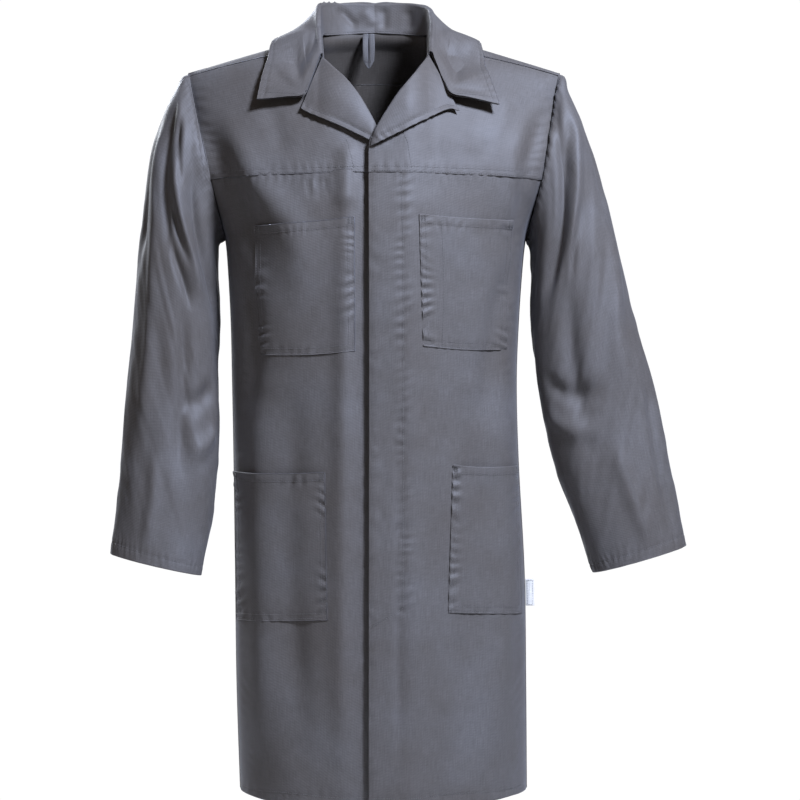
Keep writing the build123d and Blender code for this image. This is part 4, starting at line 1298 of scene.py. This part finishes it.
def cloth_material(name, dark, middle, light, weave=0.00055, bump=0.22):
    """Twill: diagonal ribs, slubs along the warp, and soft uneven dye."""
    material, tree, shader = node_material(name, 0.7, 0.10)
    shader.inputs["Sheen Roughness"].default_value = 0.40
    shader.inputs["Sheen Tint"].default_value = (0.70, 0.77, 1.0, 1)
    shader.inputs["Specular IOR Level"].default_value = 0.36
    shader.inputs["Specular Tint"].default_value = (0.80, 0.86, 1.0, 1)
    links = tree.links
    place = add(tree, "ShaderNodeUVMap", uv_map="weave")
    turned = add(tree, "ShaderNodeMapping")
    turned.inputs["Rotation"].default_value = (0, 0, 1.08)
    links.new(place.outputs["UV"], turned.inputs["Vector"])
    twill = add(tree, "ShaderNodeTexWave", wave_type="BANDS", bands_direction="X", Scale=1 / (weave * 20),
                Distortion=0.6, Detail=1.0)
    links.new(turned.outputs["Vector"], twill.inputs["Vector"])
    slub = add(tree, "ShaderNodeMapping")
    slub.inputs["Scale"].default_value = (900, 45, 1)
    links.new(place.outputs["UV"], slub.inputs["Vector"])
    slubs = add(tree, "ShaderNodeTexNoise", Scale=1.0, Detail=3.0, Roughness=0.6)
    links.new(slub.outputs["Vector"], slubs.inputs["Vector"])
    weft = add(tree, "ShaderNodeMapping")
    weft.inputs["Scale"].default_value = (60, 800, 1)
    links.new(place.outputs["UV"], weft.inputs["Vector"])
    wefts = add(tree, "ShaderNodeTexNoise", Scale=1.0, Detail=2.0, Roughness=0.6)
    links.new(weft.outputs["Vector"], wefts.inputs["Vector"])
    where = add(tree, "ShaderNodeTexCoord")
    dye = add(tree, "ShaderNodeTexNoise", Scale=9.0, Detail=4.0, Roughness=0.55)
    links.new(where.outputs["Object"], dye.inputs["Vector"])
    base = ramp_node(tree, dye.outputs["Fac"], [(0.30, dark), (0.52, middle), (0.72, light)])
    streaks = ramp_node(tree, slubs.outputs["Fac"],
                        [(0.30, (0.80, 0.79, 0.78)), (0.70, (1.16, 1.17, 1.20))])
    first = blend_node(tree, "MULTIPLY", 0.85, base.outputs["Color"], streaks.outputs["Color"])
    crossing = ramp_node(tree, wefts.outputs["Fac"],
                         [(0.30, (0.86, 0.86, 0.86)), (0.70, (1.10, 1.10, 1.12))])
    second = blend_node(tree, "MULTIPLY", 0.8, first.outputs["Result"], crossing.outputs["Color"])
    ribs = ramp_node(tree, twill.outputs["Fac"], [(0.0, (0.82, 0.82, 0.83)), (1.0, (1.10, 1.10, 1.11))])
    third = blend_node(tree, "MULTIPLY", 0.25, second.outputs["Result"], ribs.outputs["Color"])
    links.new(third.outputs["Result"], shader.inputs["Base Color"])
    height = add(tree, "ShaderNodeMath", operation="ADD")
    links.new(twill.outputs["Fac"], height.inputs[0])
    links.new(slubs.outputs["Fac"], height.inputs[1])
    relief = add(tree, "ShaderNodeBump", Strength=bump, Distance=0.00025)
    links.new(height.outputs["Value"], relief.inputs["Height"])
    links.new(relief.outputs["Normal"], shader.inputs["Normal"])
    rough = add(tree, "ShaderNodeMapRange")
    rough.inputs["To Min"].default_value = 0.54
    rough.inputs["To Max"].default_value = 0.68
    links.new(slubs.outputs["Fac"], rough.inputs["Value"])
    links.new(rough.outputs["Result"], shader.inputs["Roughness"])
    return material


def thread_material(name, colour, shine):
    """Spun thread: a fine twist along it and a little gloss."""
    material, tree, shader = node_material(name, shine, 0.2)
    where = add(tree, "ShaderNodeTexCoord")
    fibre = add(tree, "ShaderNodeTexNoise", Scale=900.0, Detail=2.0)
    tree.links.new(where.outputs["Object"], fibre.inputs["Vector"])
    low = tuple(0.75 * part for part in colour)
    high = tuple(1.2 * part for part in colour)
    shade = ramp_node(tree, fibre.outputs["Fac"], [(0.3, low), (0.7, high)])
    tree.links.new(shade.outputs["Color"], shader.inputs["Base Color"])
    return material


def metal_material(name):
    """Plated steel of the press studs, rubbed a little dull."""
    material, tree, shader = node_material(name, 0.32, 0.0, 1.0)
    where = add(tree, "ShaderNodeTexCoord")
    rub = add(tree, "ShaderNodeTexNoise", Scale=260.0, Detail=4.0)
    tree.links.new(where.outputs["Object"], rub.inputs["Vector"])
    shade = ramp_node(tree, rub.outputs["Fac"], [(0.3, (0.44, 0.43, 0.42)), (0.7, (0.66, 0.65, 0.63))])
    tree.links.new(shade.outputs["Color"], shader.inputs["Base Color"])
    rough = add(tree, "ShaderNodeMapRange")
    rough.inputs["To Min"].default_value = 0.24
    rough.inputs["To Max"].default_value = 0.48
    tree.links.new(rub.outputs["Fac"], rough.inputs["Value"])
    tree.links.new(rough.outputs["Result"], shader.inputs["Roughness"])
    return material


def paint(piece, material, reverse=None):
    """A material on a piece's face, and one on its reverse if it is cloth."""
    if len(piece.data.materials) < 2:
        piece.data.materials.clear()
        piece.data.materials.append(material)
    else:
        piece.data.materials[0] = material
        piece.data.materials[1] = reverse or material


# ---- the coat is made ------------------------------------------------------------------------------
for side in OWN:
    make_front_panel(side)
    make_front_yoke(side)
    make_lapel(side)
    make_sleeve(side)
make_back_panel()
make_back_yoke()
make_strip("placket_facing", "left", EDGE["left"] + 0.003, 0.043, YOKE_Z - 0.006, PLACKET_END_Z + 0.002,
           -0.0056)
make_strip("right_facing", "right", EDGE["right"] + 0.003, 0.018, YOKE_Z - 0.006, HEM_Z + 0.014, -0.0032)
make_collar()
for name in POCKETS:
    make_pocket(name)
make_hanging_loop()
make_side_label()

twill = cloth_material("coat_twill", (0.074, 0.067, 0.063), (0.086, 0.081, 0.080), (0.097, 0.094, 0.097))
# a darker, warmer copy of the twill for the cloth's under faces: painted shade where the coat's inside is
# seen
twill_painted_shade = cloth_material("coat_twill_painted_shade", (0.052, 0.046, 0.040), (0.064, 0.057, 0.051),
                               (0.074, 0.067, 0.061))
lining = cloth_material("collar_stiffening", (0.40, 0.39, 0.37), (0.52, 0.51, 0.49), (0.60, 0.59, 0.57))
tape = cloth_material("loop_tape_weave", (0.070, 0.067, 0.066), (0.090, 0.088, 0.091),
                      (0.110, 0.109, 0.114), 0.0004)
label = cloth_material("label_weave", (0.56, 0.56, 0.55), (0.64, 0.64, 0.63), (0.70, 0.70, 0.69),
                       0.0003, 0.2)
thread = thread_material("coat_thread", (0.072, 0.070, 0.074), 0.6)
border_thread = thread_material("label_thread", (0.10, 0.10, 0.11), 0.6)
steel = metal_material("stud_steel")


def bend_front(piece):
    """Bakes a piece's placement into its points; the piece is not bent."""
    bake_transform(piece)


def bend_sleeve(piece):
    """Bakes a sleeve's placement into its points; the sleeve is not bent."""
    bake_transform(piece)


# each piece's materials and the body it hangs from, with the frame's piece of the same name hidden
for name, piece in COAT.items():
    is_thread = name.endswith("stitching")
    if name.startswith("side_label"):
        paint(piece, border_thread if is_thread else label)
    elif name.startswith("hanging_loop"):
        paint(piece, thread if is_thread else tape)
    elif name == "collar_interlining":
        paint(piece, lining)
    else:
        # the under faces of the coat's cloth take the darker twill, painted shade for the inside
        paint(piece, thread if is_thread else twill, twill_painted_shade)
    side = name.split("_")[0]
    if name.startswith("side_label"):
        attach(piece, "side_label")
    elif name.startswith("hanging_loop"):
        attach(piece, "hanging_loop")
    elif "sleeve" in name:
        bend_sleeve(piece)
    elif name.startswith(("back", "collar", "top_collar", "under_collar")):
        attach(piece, "coat_body")
    elif name == "placket_facing":
        bend_front(piece)
    else:
        bend_front(piece)
    if not is_thread:
        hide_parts(name)

for name, piece in COAT.items():
    if name.endswith("stitching"):
        continue

for name in ("stud_caps", "stud_sockets", "stud_posts", "stud_backs"):
    paint(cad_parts[name], steel)

# ---- studio ----------------------------------------------------------------------------------------
CAMERA_X, CAMERA_Y, CAMERA_Z = 0.0356, -4.065, -0.511
LENS = 131.0


def plain_material(name, colour):
    """One even, matt colour."""
    material, _, shader = node_material(name, 0.9)
    shader.inputs["Base Color"].default_value = (*colour, 1)
    return material


def make_floor(height, radius):
    """A round pale floor below the coat."""
    sides = 96
    turn = np.arange(sides) * 2 * np.pi / sides
    corners = np.column_stack([radius * np.cos(turn), radius * np.sin(turn), np.full(sides, height)])
    floor = mesh_object("studio_floor", corners, [list(range(sides))])
    paint(floor, plain_material("studio_white", (0.60, 0.60, 0.60)))


def area_light(name, place, target, size, power, colour):
    """A soft light facing a point."""
    lamp = bpy.data.lights.new(name, "AREA")
    lamp.shape = "DISK"
    lamp.size = size
    lamp.energy = power
    lamp.color = colour
    light = bpy.data.objects.new(name, lamp)
    light.location = place
    way = np.array(target) - np.array(place)
    light.rotation_euler = Vector(way).to_track_quat("-Z", "Y").to_euler()
    bpy.context.scene.collection.objects.link(light)


make_floor(-1.30, 1.6)
area_light("key_light", (1.25, -1.80, 1.50), (0, -0.1, -0.35), 0.6, 196, (0.82, 0.89, 1.06))
area_light("fill_light", (-2.6, -2.8, -0.6), (0, -0.1, -0.6), 1.2, 12, (1.0, 0.93, 0.86))
area_light("back_light", (-1.8, 2.6, 1.2), (0, 0.0, -0.4), 1.6, 150, (0.90, 0.94, 1.0))

world = bpy.data.worlds.new("studio_air")
world.use_nodes = True
air = world.node_tree
direction = add(air, "ShaderNodeTexCoord")
parts = add(air, "ShaderNodeSeparateXYZ")
air.links.new(direction.outputs["Generated"], parts.inputs["Vector"])
pale = ramp_node(air, parts.outputs["Y"], [(0.84, (0.115, 0.097, 0.082)), (0.97, (1.02, 1.02, 1.02))])
air.links.new(pale.outputs["Color"], air.nodes["Background"].inputs["Color"])
bpy.context.scene.world = world
bpy.context.scene.view_settings.view_transform = "Standard"

lens = bpy.data.cameras.new("camera")
lens.lens = LENS
lens.sensor_width = 36.0
camera = bpy.data.objects.new("camera", lens)
camera.location = (CAMERA_X, CAMERA_Y, CAMERA_Z)
camera.rotation_euler = (np.pi / 2, 0, 0)
bpy.context.scene.collection.objects.link(camera)
bpy.context.scene.camera = camera
